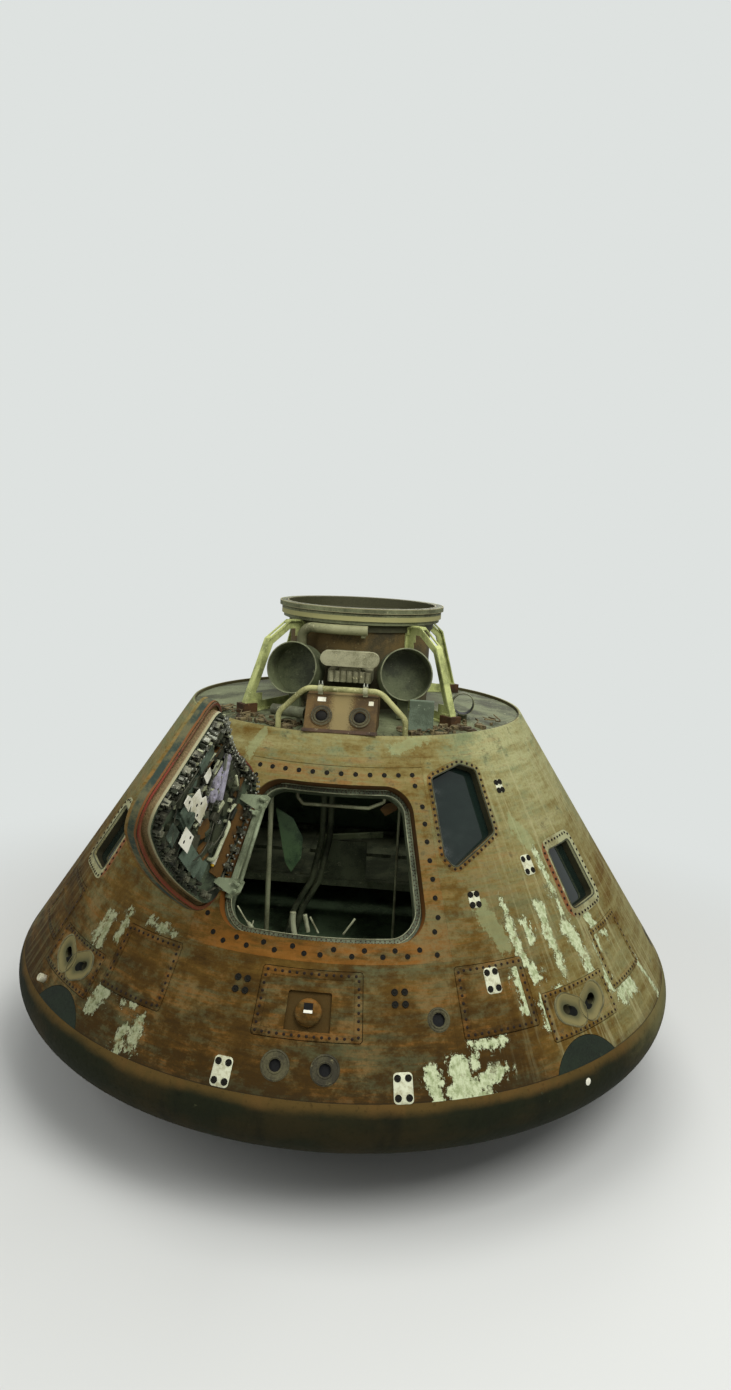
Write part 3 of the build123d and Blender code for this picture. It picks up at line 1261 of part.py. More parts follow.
# Small open duct outside the right front gusset
duct_r = deck_edge - DUCT_INSET
duct_x = duct_r * sin(radians(DUCT_AZIMUTH))
duct_y = -duct_r * cos(radians(DUCT_AZIMUTH))
duct_z = lip_z + DUCT_HEIGHT
duct_seat = aimed(duct_x, duct_y, duct_z, 0, DUCT_TILT) * Pos(0, 0, -DUCT_LENGTH / 2)
duct_core = duct_seat * Cylinder(DUCT_RADIUS - DUCT_WALL / 2, 2 * DUCT_LENGTH)
duct_tube = Cylinder(DUCT_RADIUS, DUCT_LENGTH) - Cylinder(DUCT_RADIUS - DUCT_WALL, 2 * DUCT_LENGTH)
duct_foot = pedestal(duct_x, duct_y + DUCT_LENGTH / 2, duct_z, DUCT_FOOT_WIDTH, DUCT_FOOT_LENGTH)
keep("deck_duct", duct_seat * duct_tube + (duct_foot - duct_core))

# Cabin floor
floor_r = inside_r(floor_z) - PANEL_GAP
keep(
    "cabin_floor",
    ring_of(
        [
            (0, floor_z - FLOOR_THICK),
            (floor_r, floor_z - FLOOR_THICK),
            (floor_r, floor_z),
            (0, floor_z),
        ]
    ),
)

# Equipment bay along the back of the cabin: a sheet cabinet, open behind
bay_low_z = floor_z + PANEL_GAP
bay_high_z = floor_z + BAY_HEIGHT
bay_back_y = sqrt((inside_r(bay_high_z) - BAY_ROOM) ** 2 - BAY_HALF_WIDTH**2)
bay_front_y = bay_back_y - BAY_LENGTH
bay_outside = Box(2 * BAY_HALF_WIDTH, BAY_LENGTH, bay_high_z - bay_low_z)
bay_inside = Box(2 * (BAY_HALF_WIDTH - BAY_SHEET), BAY_LENGTH, bay_high_z - bay_low_z - 2 * BAY_SHEET)
bay = bay_outside - Pos(0, BAY_SHEET, 0) * bay_inside
keep("equipment_bay", Pos(0, (bay_front_y + bay_back_y) / 2, (bay_low_z + bay_high_z) / 2) * bay)

# Couch frame: side beams, cross beams and seat pans, on struts from the floor
couch_z = floor_z + COUCH_HEIGHT
couch_back_y = bay_front_y - COUCH_BAY_GAP
couch_front_y = couch_back_y - COUCH_LENGTH
couch_middle_y = (couch_front_y + couch_back_y) / 2
couch = Pos(0, couch_middle_y, couch_z) * (
    Box(2 * COUCH_HALF_WIDTH, COUCH_LENGTH, COUCH_BEAM)
    - Box(2 * (COUCH_HALF_WIDTH - COUCH_BEAM), COUCH_LENGTH - 2 * COUCH_BEAM, 2 * COUCH_BEAM)
)
seat_pan_width = (2 * (COUCH_HALF_WIDTH - COUCH_BEAM + SEAT_LAP) - 2 * SEAT_GAP) / 3
seat_spacing = seat_pan_width + SEAT_GAP
for side in (-1, 1):
    beam = Box(COUCH_BEAM, COUCH_LENGTH - COUCH_BEAM, COUCH_BEAM)
    couch += Pos(side * seat_spacing / 2, couch_middle_y, couch_z) * beam
for seat in (-1, 0, 1):
    for share in SEAT_PAN_SHARES:
        pan = Box(seat_pan_width, SEAT_PAN_LENGTH, SEAT_PAN_THICK)
        couch += Pos(seat * seat_spacing, couch_middle_y + share * COUCH_LENGTH, couch_z) * pan
leg_rest_at = Pos(0, couch_front_y + COUCH_BEAM / 2, couch_z + LEG_REST_SIZE[2] / 2)
couch += leg_rest_at * Box(*LEG_REST_SIZE)
keep("couch_frame", couch)
strut_low_z = floor_z + PANEL_GAP
strut_high_z = couch_z - COUCH_BEAM / 2 - PANEL_GAP
struts = []
for side in (-1, 1):
    for y in (couch_front_y + COUCH_BEAM / 2, couch_back_y - COUCH_BEAM / 2):
        strut = Cylinder(STRUT_RADIUS, strut_high_z - strut_low_z)
        strut_x = side * (COUCH_HALF_WIDTH - COUCH_BEAM / 2)
        struts.append(Pos(strut_x, y, (strut_low_z + strut_high_z) / 2) * strut)
keep("couch_struts", Compound(struts))

# Instrument console: a tilted panel hung from the tunnel on two cheeks
console_z = tunnel_foot_z - CONSOLE_DROP
cheek_high_z = tunnel_foot_z - PANEL_GAP
console = Pos(0, CONSOLE_Y, console_z) * Rot(CONSOLE_TILT, 0, 0) * Box(*CONSOLE_SIZE)
for side in (-1, 1):
    cheek = Box(CHEEK_THICK, CHEEK_DEPTH, cheek_high_z - console_z)
    console += Pos(side * CHEEK_REACH, CONSOLE_Y, (console_z + cheek_high_z) / 2) * cheek
keep("instrument_console", console)


def ceiling_z(r):
    """Level at which the wall's inside comes in to a radius."""
    return seam_z + (seam_r - WALL / cos(half) - r) / tan(half)


# Handrail under the doorway's head, and the two uprights beside the doorway
rail_z = door_high_z - HANDRAIL_DROP
rail_points = [(x, -HANDRAIL_REACH, rail_z + height) for x, height in HANDRAIL_PLACES]
rail_ends = []
for x in (HANDRAIL_PLACES[0][0], HANDRAIL_PLACES[-1][0]):
    rail_end_z = ceiling_z(hypot(x, HANDRAIL_REACH) + HANDRAIL_RADIUS) - PANEL_GAP / 2
    rail_ends.append((x, -HANDRAIL_REACH, rail_end_z))
rail_path = FilletPolyline(rail_ends[0], *rail_points, rail_ends[1], radius=HANDRAIL_BEND_RADIUS)
rail_start = Plane(origin=rail_ends[0], z_dir=(0, 0, -1))
rails = [sweep(rail_start * Circle(HANDRAIL_RADIUS), path=rail_path)]
for x, y, radius in UPRIGHTS:
    upright_low_z = floor_z + PANEL_GAP
    upright_high_z = ceiling_z(hypot(x, y) + radius) - PANEL_GAP / 2
    upright_bar = Cylinder(radius, upright_high_z - upright_low_z)
    rails.append(Pos(x, y, (upright_low_z + upright_high_z) / 2) * upright_bar)
keep("cabin_rails", Compound(rails))

# Hoses: a pair that runs from the deck's underside down behind the doorway to the floor
hoses = []
for side in (-1, 1):
    hose_x = HOSE_X + side * HOSE_SPACING / 2
    hose_top_z = deck_z(hypot(hose_x, HOSE_Y) + HOSE_RADIUS) - DECK_THICK - PANEL_GAP
    hose_points = [(hose_x, HOSE_Y, hose_top_z)]
    hose_points += [(hose_x + x, HOSE_Y, floor_z + height) for x, height in HOSE_PLACES]
    hose_points.append((hose_x + HOSE_PLACES[-1][0], HOSE_Y, floor_z + PANEL_GAP))
    hose_path = FilletPolyline(*hose_points, radius=HOSE_BEND_RADII)
    hose_start = Plane(origin=hose_points[0], z_dir=(0, 0, -1))
    hoses.append(sweep(hose_start * Circle(HOSE_RADIUS), path=hose_path))
keep("cabin_hoses", Compound(hoses))

os.makedirs("parts", exist_ok=True)
for node, shape in NODES.items():
    print(node, len(shape.solids()), round(shape.volume))
    export_step(shape, f"parts/{node}.step")
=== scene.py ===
import bpy
import numpy as np
from mathutils import Matrix


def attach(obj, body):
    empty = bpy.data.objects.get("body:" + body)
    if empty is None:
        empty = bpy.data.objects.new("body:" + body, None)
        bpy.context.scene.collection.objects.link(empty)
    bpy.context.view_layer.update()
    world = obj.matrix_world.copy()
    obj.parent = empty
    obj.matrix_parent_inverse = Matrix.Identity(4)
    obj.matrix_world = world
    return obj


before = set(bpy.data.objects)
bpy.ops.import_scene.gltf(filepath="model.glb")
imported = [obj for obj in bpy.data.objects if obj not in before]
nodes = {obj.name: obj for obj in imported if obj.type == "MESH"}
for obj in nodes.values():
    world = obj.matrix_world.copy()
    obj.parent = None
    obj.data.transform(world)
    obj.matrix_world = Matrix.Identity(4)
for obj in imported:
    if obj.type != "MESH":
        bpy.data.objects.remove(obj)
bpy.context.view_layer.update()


# Aft heat shield: a round dish of glass-fibre honeycomb filled with resin, charred by the flight.
# It is one moulding with a rounded rim, and the cone wall stands on its edge.
class Tone:
    """One socket of a finish; a sum or product of tones adds the Math nodes that work it out."""

    def __init__(self, finish, socket):
        self.finish = finish
        self.socket = socket

    def maths(self, operation, *values):
        """Math node with these values, tones or numbers, as its inputs."""
        return self.finish.node("Math", {"operation": operation}, dict(enumerate(values)))

    def __add__(self, other):
        return self.maths("ADD", self, other)

    def __radd__(self, other):
        return self.maths("ADD", other, self)

    def __sub__(self, other):
        return self.maths("SUBTRACT", self, other)

    def __rsub__(self, other):
        return self.maths("SUBTRACT", other, self)

    def __mul__(self, other):
        return self.maths("MULTIPLY", self, other)

    def __rmul__(self, other):
        return self.maths("MULTIPLY", other, self)

    def __truediv__(self, other):
        return self.maths("DIVIDE", self, other)

    def __pow__(self, other):
        return self.maths("POWER", self, other)

    def __abs__(self):
        return self.maths("ABSOLUTE", self)

    def either(self, other):
        """The larger of two tones."""
        return self.maths("MAXIMUM", self, other)

    def both(self, other):
        """The smaller of two tones."""
        return self.maths("MINIMUM", self, other)

    def hypot(self, other):
        """Square root of the sum of the squares of two tones."""
        return (self * self + other * other) ** 0.5

    def step(self, low, high):
        """0 under the low value, 1 over the high one, and a smooth step between."""
        sockets = {"Value": self, "From Min": low, "From Max": high}
        return self.finish.node("MapRange", {"interpolation_type": "SMOOTHSTEP"}, sockets)


def tint(red, green, blue):
    """Colour as a screen shows it, 0 to 255, turned into the linear light a shader works in."""
    screen = np.array((red, green, blue)) / 255
    linear = np.where(screen <= 0.04045, screen / 12.92, ((screen + 0.055) / 1.055) ** 2.4)
    return (*linear.tolist(), 1.0)


class Finish:
    """A material while it is mixed: coat() lays a colour over it, and wear() sets its other sockets.

    Its place, x, y and z are those of the piece as it was made, so on the hatch those of the closed hatch.
    """

    def __init__(self, name, roughness=0.7, metallic=0.0, hatch=False, shine=0.5):
        self.material = bpy.data.materials.new(name)
        self.material.use_nodes = True
        self.tree = self.material.node_tree
        self.shader = self.tree.nodes["Principled BSDF"]
        self.wear(Roughness=roughness, Metallic=metallic, Specular_IOR_Level=shine)
        self.place = self.node("TexCoord", output="Object")
        if hatch:
            turn = {"Vector": self.place, "Center": HINGE_PLACE, "Axis": HINGE_LINE, "Angle": OPEN_ANGLE}
            self.place = self.node("VectorRotate", {"rotation_type": "AXIS_ANGLE"}, turn)
        self.x, self.y, self.z = (self.node("SeparateXYZ", {}, {0: self.place}, k) for k in range(3))

    @property
    def azimuth(self):
        """Azimuth in degrees from the doorway's middle."""
        return self.x.maths("ARCTAN2", self.x, self.y * -1.0) * DEGREES

    @property
    def radius(self):
        """Radius from the capsule's axis."""
        return self.x.hypot(self.y)

    @property
    def depth(self):
        """Depth into the cone wall: outside radius at this level less the radius, times the half angle's cosine."""
        return (cone_r(self.z) - self.radius) * COS_HALF

    def feed(self, socket, value):
        """Link a tone to a socket, or set the socket to a number, a vector or a screen colour."""
        if isinstance(value, Tone):
            self.tree.links.new(value.socket, socket)
        else:
            socket.default_value = tint(*value) if socket.type == "RGBA" else value

    def node(self, kind, settings=None, sockets=None, output=0):
        """Any node: its settings first, then the values or links of its sockets."""
        node = self.tree.nodes.new("ShaderNode" + kind)
        for name, value in (settings or {}).items():
            setattr(node, name, value)
        for name, value in (sockets or {}).items():
            self.feed(node.inputs[name], value)
        return Tone(self, node.outputs[output])

    def mix(self, mask, low, high):
        """Colour that goes from low to high as the mask goes from 0 to 1."""
        return self.node("Mix", {"data_type": "RGBA"}, {0: mask, 6: low, 7: high}, 2)

    def row(self, value, stops):
        """Colour along a row of (place, colour) stops."""
        tone = self.node("ValToRGB", {}, {"Fac": value})
        elements = tone.socket.node.color_ramp.elements
        for at, _ in stops[1:-1]:
            elements.new(at)
        for element, (at, colour) in zip(elements, stops):
            element.position = at
            element.color = tint(*colour)
        return tone

    def cloud(self, scale, stretch=(1, 1, 1), detail=4.0, rough=0.6, place=None):
        """Noise from 0 to 1, drawn out along an axis whose stretch is under 1."""
        drawn = self.node("VectorMath", {"operation": "MULTIPLY"}, {0: place or self.place, 1: stretch})
        sockets = {"Vector": drawn, "Scale": scale, "Detail": detail, "Roughness": rough}
        return self.node("TexNoise", {"noise_dimensions": "3D"}, sockets)

    def wear(self, **values):
        """Set or link sockets of the shader."""
        for name, value in values.items():
            self.feed(self.shader.inputs[name.replace("_", " ")], value)
        return self

    def coat(self, mask, colour):
        """Lay a colour over what the finish shows so far, as far as the mask goes."""
        self.colour = self.mix(mask, self.colour, colour)
        return self.wear(Base_Color=self.colour)

    def relief(self, height, distance):
        """Bump of this height in metres at a tone of 1."""
        return self.wear(Normal=self.node("Bump", {}, {"Height": height, "Distance": distance}))

    def on(self, *names):
        """Put the finish on these nodes of the frame."""
        for name in names:
            mesh = nodes[name].data
            for slot in nodes[name].material_slots:
                slot.material = self.material
            if not mesh.materials:
                mesh.materials.append(self.material)
        return self


# The hatch stands open: a finish or a shape made for the closed hatch is turned about the hinge's line.
HINGE_PLACE = (-0.490735, -1.285109, 1.559933)
HINGE_LINE = (0.194295, 0.508808, 0.838668)
OPEN_ANGLE = float(np.radians(100.5))

DEGREES = float(np.degrees(1))
HALF_ANGLE = np.radians(33.0003)
COS_HALF, SIN_HALF, TAN_HALF = (float(ratio(HALF_ANGLE)) for ratio in (np.cos, np.sin, np.tan))
SEAM_RADIUS = 1.92438
SEAM_LEVEL = 0.65984


def cone_r(level):
    """Radius of the cone's outside at a level: the seam's radius less the slope's run."""
    return SEAM_RADIUS - (level - SEAM_LEVEL) * TAN_HALF


# Colours are red, green and blue as a screen shows them
CHAR = (26, 29, 14)
CHAR_DEEP = (14, 17, 8)
CHAR_BROWN = (40, 35, 16)
SHIELD_TAN = (84, 66, 30)
GREY_SCUFF = (96, 98, 66)
RIM_TAN = (112, 108, 68)
DULL_SHINE = 0.12

char = Finish("shield_char", roughness=0.85, shine=DULL_SHINE)
soot = char.cloud(1.6, (1, 1, 2.2), 6.0)
runs = char.cloud(5.0, (1, 1, 0.25), 5.0)
fine = char.cloud(42.0)
char.colour = char.mix(soot.step(0.40, 0.62), CHAR, CHAR_BROWN)
char.coat(runs.step(0.52, 0.70) * 0.55, CHAR_DEEP)
edge = (char.z + (soot - 0.5) * 0.10).step(0.60, 0.65)
char.coat(edge * 0.85, SHIELD_TAN)
char.coat(edge * runs.step(0.50, 0.62) * 0.4, (94, 68, 32))
far_right = (char.azimuth + (soot - 0.5) * 40.0).step(50.0, 72.0) * char.azimuth.step(165.0, 110.0)
char.coat(far_right * (char.z + (runs - 0.5) * 0.2).step(0.46, 0.60) * 0.7, RIM_TAN)
scuffs = char.cloud(9.0, (1, 1, 1.6), 8.0, 0.7).step(0.66, 0.72)
char.coat(scuffs * 0.6, GREY_SCUFF)
char.coat(fine.step(0.55, 0.75) * 0.35, CHAR_DEEP)
char.wear(Roughness=fine * 0.25 + 0.72)
char.relief(fine * 0.6 + scuffs.step(0.2, 0.8) * 0.4, 0.004).on("aft_heat_shield")

# Cone wall: brazed steel honeycomb panels under a brown ablator that the flight has scorched.
# Paint and foil come off it in pale ragged patches, and rain and salt have drawn streaks over it.
# Tones from the wall's foot to its top: partly the ablator's own colour and partly painted light, the top lighter as
# light falls from above.
WALL_TONES_WITH_TOP_LIGHT = (
    (0.00, (52, 36, 6)), (0.20, (72, 51, 12)), (0.42, (90, 69, 24)),
    (0.60, (110, 98, 54)), (0.80, (130, 124, 80)), (1.00, (150, 150, 106)),
)
UMBER = (66, 45, 13)
BURNT = (116, 76, 30)
BLUE_GREEN = (98, 112, 80)
SCORCH_AND_SHADE = (40, 31, 13)
DRY_TAN_AND_SIDE_LIGHT = (154, 150, 108)
PALE_PATCH = (184, 192, 154)
DULL_PATCH = (136, 146, 104)
INSIDE_SHADE = (32, 34, 24)
LINER_SHADE = (32, 38, 32)

# Pale worn patches: azimuth and level of both ends, and width in metres
PATCHES = (
    (36.2, 1.263, 36.8, 1.143, 0.052), (36.8, 1.143, 38.6, 1.027, 0.046), (39.7, 1.248, 40.2, 1.168, 0.041),
    (44.9, 1.271, 44.6, 1.182, 0.059), (44.6, 1.182, 45.2, 1.016, 0.033), (50.0, 1.170, 51.3, 1.093, 0.079),
    (51.3, 1.093, 51.9, 0.982, 0.049), (56.8, 1.093, 56.8, 1.026, 0.048), (56.8, 1.026, 56.0, 0.928, 0.023),
    (56.0, 0.928, 55.7, 0.872, 0.048), (35.1, 1.084, 35.1, 0.920, 0.048), (38.6, 0.939, 38.3, 0.842, 0.030),
    (57.6, 0.814, 61.5, 0.810, 0.077), (68.4, 0.864, 70.4, 0.680, 0.016), (24.4, 0.836, 29.2, 0.833, 0.039),
    (24.5, 0.827, 24.1, 0.762, 0.037), (21.9, 0.773, 21.5, 0.661, 0.077), (22.0, 0.678, 25.1, 0.659, 0.049),
    (17.9, 0.757, 18.7, 0.657, 0.046), (42.2, 0.948, 44.7, 0.909, 0.019), (47.7, 0.933, 50.3, 0.932, 0.030),
    (35.8, 1.333, 36.2, 1.304, 0.025), (44.3, 1.312, 45.2, 1.270, 0.024), (-41.7, 0.984, -42.2, 1.104, 0.039),
    (-38.1, 1.031, -37.9, 1.163, 0.031), (-36.2, 0.765, -34.9, 0.850, 0.066), (-25.8, 0.688, -26.0, 0.810, 0.030),
    (-28.0, 0.665, -28.2, 0.754, 0.023), (-30.5, 0.836, -27.5, 0.849, 0.019), (-31.8, 1.160, -26.3, 1.146, 0.030),
    (-43.2, 0.955, -43.9, 1.104, 0.025), (49.7, 1.506, 50.7, 1.187, 0.030), (55.4, 1.233, 61.3, 1.050, 0.034),
    (24.4, 0.697, 27.9, 0.734, 0.060), (20.0, 0.688, 24.4, 0.697, 0.050), (-44.2, 1.046, -43.6, 0.930, 0.030),
)
# Large faint patches where the green undercoat shows through
FAINT_PATCHES = (
    (-25.0, 1.960, -23.6, 2.050, 0.070), (15.5, 2.030, 26.5, 2.075, 0.048),
    (31.0, 1.330, 34.0, 1.180, 0.090), (46.0, 1.640, 49.0, 1.560, 0.090),
)
PATCH_RAG = 0.30
PATCH_GROWTH = 0.006


def patch_mask(finish, ragged, patches):
    """1 within half the width of any patch's middle line, its edge torn by noise."""
    around = cone_r(1.0) / DEGREES
    azimuth, mask = finish.azimuth, None
    for a_from, z_from, a_to, z_to, width in patches:
        run = np.array(((a_to - a_from) * around, (z_to - z_from) / COS_HALF))
        length = float(np.hypot(*run))
        right, up = (run / length).tolist()
        u = (azimuth - a_from) * around
        v = (finish.z - z_from) / COS_HALF
        along = u * right + v * up
        past = (along - length).either(along * -1.0).either(0.0)
        inside = width / 2 + PATCH_GROWTH - past.hypot(v * right - u * up)
        mask = inside if mask is None else mask.either(inside)
    body = (mask + (ragged - 0.5) * PATCH_RAG).step(-0.002, 0.003)
    return body.either(mask.step(-0.060, -0.010) * ragged.step(0.572, 0.585))


def ablator(name, glow=0.0, lift=0.0, patches=False, hatch=False, inside=INSIDE_SHADE, inside_high=None):
    """Scorched ablator, brown at the wall's foot and dry olive at its top, partly its own colour and partly painted
    light from above; its right side is painted lighter where the key lamp falls.

    glow brings out burnt orange, and lift moves a piece up the row of tones. inside is the colour of its
    edges, which may go over to another one higher up; deeper in, the edges darken to near black as painted
    shade in the opening. With None the piece looks the same all through.
    """
    finish = Finish(name, roughness=0.8, hatch=hatch, shine=DULL_SHINE)
    azimuth, z = finish.azimuth, finish.z
    streak = finish.cloud(2.4, (1, 1, 8.0), 9.0, 0.66) - 0.5
    hair = finish.cloud(8.0, (1, 1, 14.0), 7.0, 0.70)
    blotch = finish.cloud(1.7, detail=7.0) - 0.5
    mottle = finish.cloud(12.0, (1, 1, 1.5), 10.0, 0.74)
    grain = mottle - 0.5
    fine = finish.fine = finish.cloud(70.0)
    slope_place = finish.node("CombineXYZ", {}, {0: azimuth * 0.35, 1: z * 0.8, 2: 0.0})
    runs = finish.cloud(2.6, detail=8.0, rough=0.62, place=slope_place)
    behind = abs(azimuth).step(170.0, 100.0)
    # right and side are painted light: the right side, where the key lamp falls, is lifted up the tones, more so low
    # down; on both sides, the left less, burnt orange gives way to pale tan runs, partly dry ablator and partly
    # painted light.
    right = azimuth.step(24.0, 56.0) * behind
    side = right.either(azimuth.step(-30.0, -80.0) * behind * 0.4)
    # The tone rises with height: partly real scorching low down, partly painted light from above.
    level = (z - SEAM_LEVEL) * 0.52 + streak * 1.1 + blotch * 0.7 + grain * 0.7
    finish.colour = finish.row(level + right * (z.step(1.30, 0.80) * 0.34 + 0.26) + lift + 0.03, WALL_TONES_WITH_TOP_LIGHT)
    burnt = (streak * 0.6 + hair * 0.4 + blotch * 0.8 + grain * 0.8).step(0.20 - glow, 0.42 - glow)
    finish.coat(burnt * (0.80 - side * 0.40), BURNT)
    green = (streak * -0.5 + hair * -0.3 + blotch + grain * 0.9).step(-0.21, 0.05)
    finish.coat(green * (z.step(1.75, 2.02) * 0.30 + z.step(0.80, 1.40) * 0.17 + 0.28), BLUE_GREEN)
    finish.coat(side * runs.step(0.50, 0.64) * 0.6, DRY_TAN_AND_SIDE_LIGHT)
    finish.coat(mottle.step(0.58, 0.70) * 0.5, SCORCH_AND_SHADE)
    finish.coat(fine.step(0.45, 0.75) * 0.30, UMBER)
    grime = (z + streak * 0.05).step(SEAM_LEVEL + 0.05, SEAM_LEVEL) * 0.45
    seam = (z + grain * 0.004).step(SEAM_LEVEL + 0.007, SEAM_LEVEL + 0.003) * 0.85
    finish.coat(grime.either(seam), SCORCH_AND_SHADE)
    height = fine * 0.4 + mottle * 0.4 + streak * 0.2
    if patches:
        flakes = finish.cloud(38.0, (1, 1, 0.7), 9.0, 0.80)
        ragged = finish.cloud(13.0, (1, 1, 0.45), 10.0, 0.80) * 0.60 + flakes * 0.40
        finish.coat(patch_mask(finish, ragged, FAINT_PATCHES) * 0.45, DULL_PATCH)
        mask = patch_mask(finish, ragged, PATCHES)
        # Patches are laid on fainter where the wall is mottled, and fainter on the left as painted shade on the side
        # away from the key lamp.
        patch_share_with_left_shade = (1 - mottle.step(0.54, 0.62) * 0.7) * (1 - azimuth.step(-16.0, -24.0) * 0.45)
        finish.coat(mask * patch_share_with_left_shade, finish.mix(flakes.step(0.40, 0.58), DULL_PATCH, PALE_PATCH))
        height = height - mask * 0.5
    # The edge colour comes first, and the dark default is painted shade; deeper in, the cut faces go to near black at
    # the inner face, painted shade in the opening.
    if inside:
        depth = finish.depth
        edge = finish.mix(z.step(1.24, 1.46), inside, inside_high or inside)
        finish.coat(depth.step(0.004, 0.010) * 0.9, edge)
        finish.coat(depth.step(0.035, 0.09), SCORCH_AND_SHADE)
        finish.coat(depth.step(0.1080, 0.1090), LINER_SHADE)
    return finish.wear(Roughness=fine * 0.3 + 0.62).relief(height, 0.0030)


SIDES = (("right", 1), ("left", -1))


def both_sides(*names):
    """Names of the right and the left piece of each pair."""
    return [f"{part}_{name}" for name in names for part, _ in SIDES]


wall = ablator("wall_ablator", patches=True)
wall.on("lower_front_wall", *both_sides("lower_side_wall", "window_wall", "side_wall"))
wall.on("access_covers", "side_access_covers")
rear = ablator("rear_ablator")
rear.on(*both_sides("rear_wall", "lower_rear_wall"), "rear_access_covers", "umbilical_cover")
ablator("ring_ablator", patches=True, inside=(72, 66, 42)).on("forward_ring")
surround = ablator("surround_ablator", glow=0.08, inside=(128, 80, 30), inside_high=(72, 48, 24))
sill = (surround.z + (surround.fine - 0.5) * 0.03).step(1.245, 1.205) * abs(surround.azimuth).step(23.0, 15.0)
sill = sill * surround.cloud(5.0, (1, 1, 6.0), 7.0, 0.7).step(0.34, 0.60)
surround.coat(sill * 0.50, (134, 84, 28)).on("hatch_surround")
ablator("centre_cover_ablator", glow=0.02, lift=-0.03, inside=(66, 50, 20)).on("centre_access_cover")


# Bolts of the doorway surround: steel bolts at the bottom of sockets in the ablator; sockets and bolts stand a little
# proud and are painted near black as the shade down each hole.
# They stand square to the wall, in rows above and below the doorway and down both its sides.
def unit(vectors):
    """Vectors of length 1 with the same directions."""
    return vectors / np.linalg.norm(vectors, axis=-1, keepdims=True)


def joined(shapes):
    """Many shapes of (points, faces) as one."""
    points, faces, start = [], [], 0
    for shape_points, shape_faces in shapes:
        shape_points = np.asarray(shape_points).reshape(-1, 3)
        points.append(shape_points)
        faces += [[index + start for index in face] for face in shape_faces]
        start += len(shape_points)
    return np.concatenate(points), faces


def shaped(name, finish, *shapes, smooth=True):
    """New object with its mesh in place, made of these shapes."""
    points, faces = joined(shapes)
    mesh = bpy.data.meshes.new(name)
    mesh.from_pydata(points.tolist(), [], faces)
    mesh.polygons.foreach_set("use_smooth", np.full(len(mesh.polygons), smooth))
    mesh.materials.append(finish.material)
    piece = bpy.data.objects.new(name, mesh)
    bpy.context.collection.objects.link(piece)
    return piece


def carried(name, finish, *shapes, body="capsule", smooth=True):
    """New piece made of these shapes, riding on a body of the capsule."""
    piece = shaped(name, finish, *shapes, smooth=smooth)
    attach(piece, body)


def skin(loops, closed=False):
    """Skin through a row of loops with equal counts; a closed one joins last to first, an open one is capped."""
    points = np.stack(loops)
    rings, count = points.shape[:2]
    rows = np.arange(rings if closed else rings - 1)[:, None] * count
    here = np.arange(count)[None, :]
    after = (here + 1) % count
    next_row = (rows + count) % (rings * count)
    faces = np.stack((rows + here, rows + after, next_row + after, next_row + here), -1).reshape(-1, 4).tolist()
    if not closed:
        faces += [here[0, ::-1].tolist(), (here[0] + (rings - 1) * count).tolist()]
    return points.reshape(-1, 3), faces


def wall_points(azimuth, level, proud=0.0):
    """Points on the cone: radius falls with the level, and proud lifts them square to the wall."""
    a = np.radians(azimuth)
    r = cone_r(level) + proud * COS_HALF
    return np.stack((r * np.sin(a), -r * np.cos(a), level + proud * SIN_HALF), axis=-1)


def wall_normals(azimuth):
    """Directions square to the cone at these azimuths."""
    a = np.radians(azimuth)
    return np.stack((COS_HALF * np.sin(a), -COS_HALF * np.cos(a), np.full_like(a, SIN_HALF)), axis=-1)


def circles(u, v, sides):
    """Circles of radius 1 in the planes of u and v, each a row of this many points."""
    t = np.linspace(0, 2 * np.pi, sides, endpoint=False)[:, None]
    return u[:, None] * np.cos(t) + v[:, None] * np.sin(t)


def turned_pieces(places, outward, profile, sides, hollow=False):
    """Turned shapes at one or many places: each is a profile of (radius, height) carried round its axis.

    A hollow one is a ring, whose profile closes on itself.
    """
    places, outward = np.atleast_2d(places), unit(np.atleast_2d(outward))
    helper = np.where(np.abs(outward[:, 2:3]) < 0.9, (0.0, 0.0, 1.0), (1.0, 0.0, 0.0))
    u = unit(np.cross(helper, outward))
    rings = circles(u, np.cross(outward, u), sides)[:, None]
    radius, height = np.array(profile).T[:, :, None, None]
    loops = places[:, None, None] + radius * rings + height * outward[:, None, None]
    return joined([skin(piece, hollow) for piece in loops])


def on_wall(places, profile, sides, proud=0.0, hollow=False):
    """Turned shapes square to the wall at places of (azimuths, levels)."""
    azimuth, level = places
    return turned_pieces(wall_points(azimuth, level, proud), wall_normals(azimuth), profile, sides, hollow)


def speckled(name, scale, dark, light, least_rough):
    """Dark metal in dust: its colour and roughness follow one fine noise."""
    finish = Finish(name, shine=0.15)
    dust = finish.cloud(scale)
    return finish.wear(Base_Color=finish.mix(dust, dark, light), Roughness=dust * 0.3 + least_rough)


SURROUND_BOLTS = np.array((
    *((a, 1.910) for a in np.linspace(-20.65, 20.47, 12)),
    *((side * a, z - 0.0019) for side in (-1, 1) for a, z in (
        (20.85, 1.864), (22.0, 1.773), (22.0, 1.699), (21.9, 1.624), (21.9, 1.546),
        (21.95, 1.470), (21.9, 1.395), (21.9, 1.318), (20.9, 1.264),
    )),
    *((a, 1.197) for a in (-18.6, -14.0, -9.0, -3.9, 3.1, 8.3, 13.5, 17.8)),
    *((a, 1.174) for a in (-16.3, -11.9, -6.9, -1.8, 0.9, 6.2, 11.4, 15.6, 20.8)),
))
SOCKET_PROFILE = (
    (0.0125, -0.001), (0.0125, 0.0012), (0.0112, 0.0018), (0.0100, 0.0014),
    (0.0095, 0.0004), (0.0050, 0.0004), (0.0047, 0.0014), (0.0022, 0.0017),
)
# Near black socket and bolt: painted shade down each hole.
socket = speckled("bolt_socket_shade", 90.0, (8, 8, 5), (28, 26, 16), 0.6)
carried("surround_bolts", socket, on_wall(SURROUND_BOLTS.T, SOCKET_PROFILE, 20))
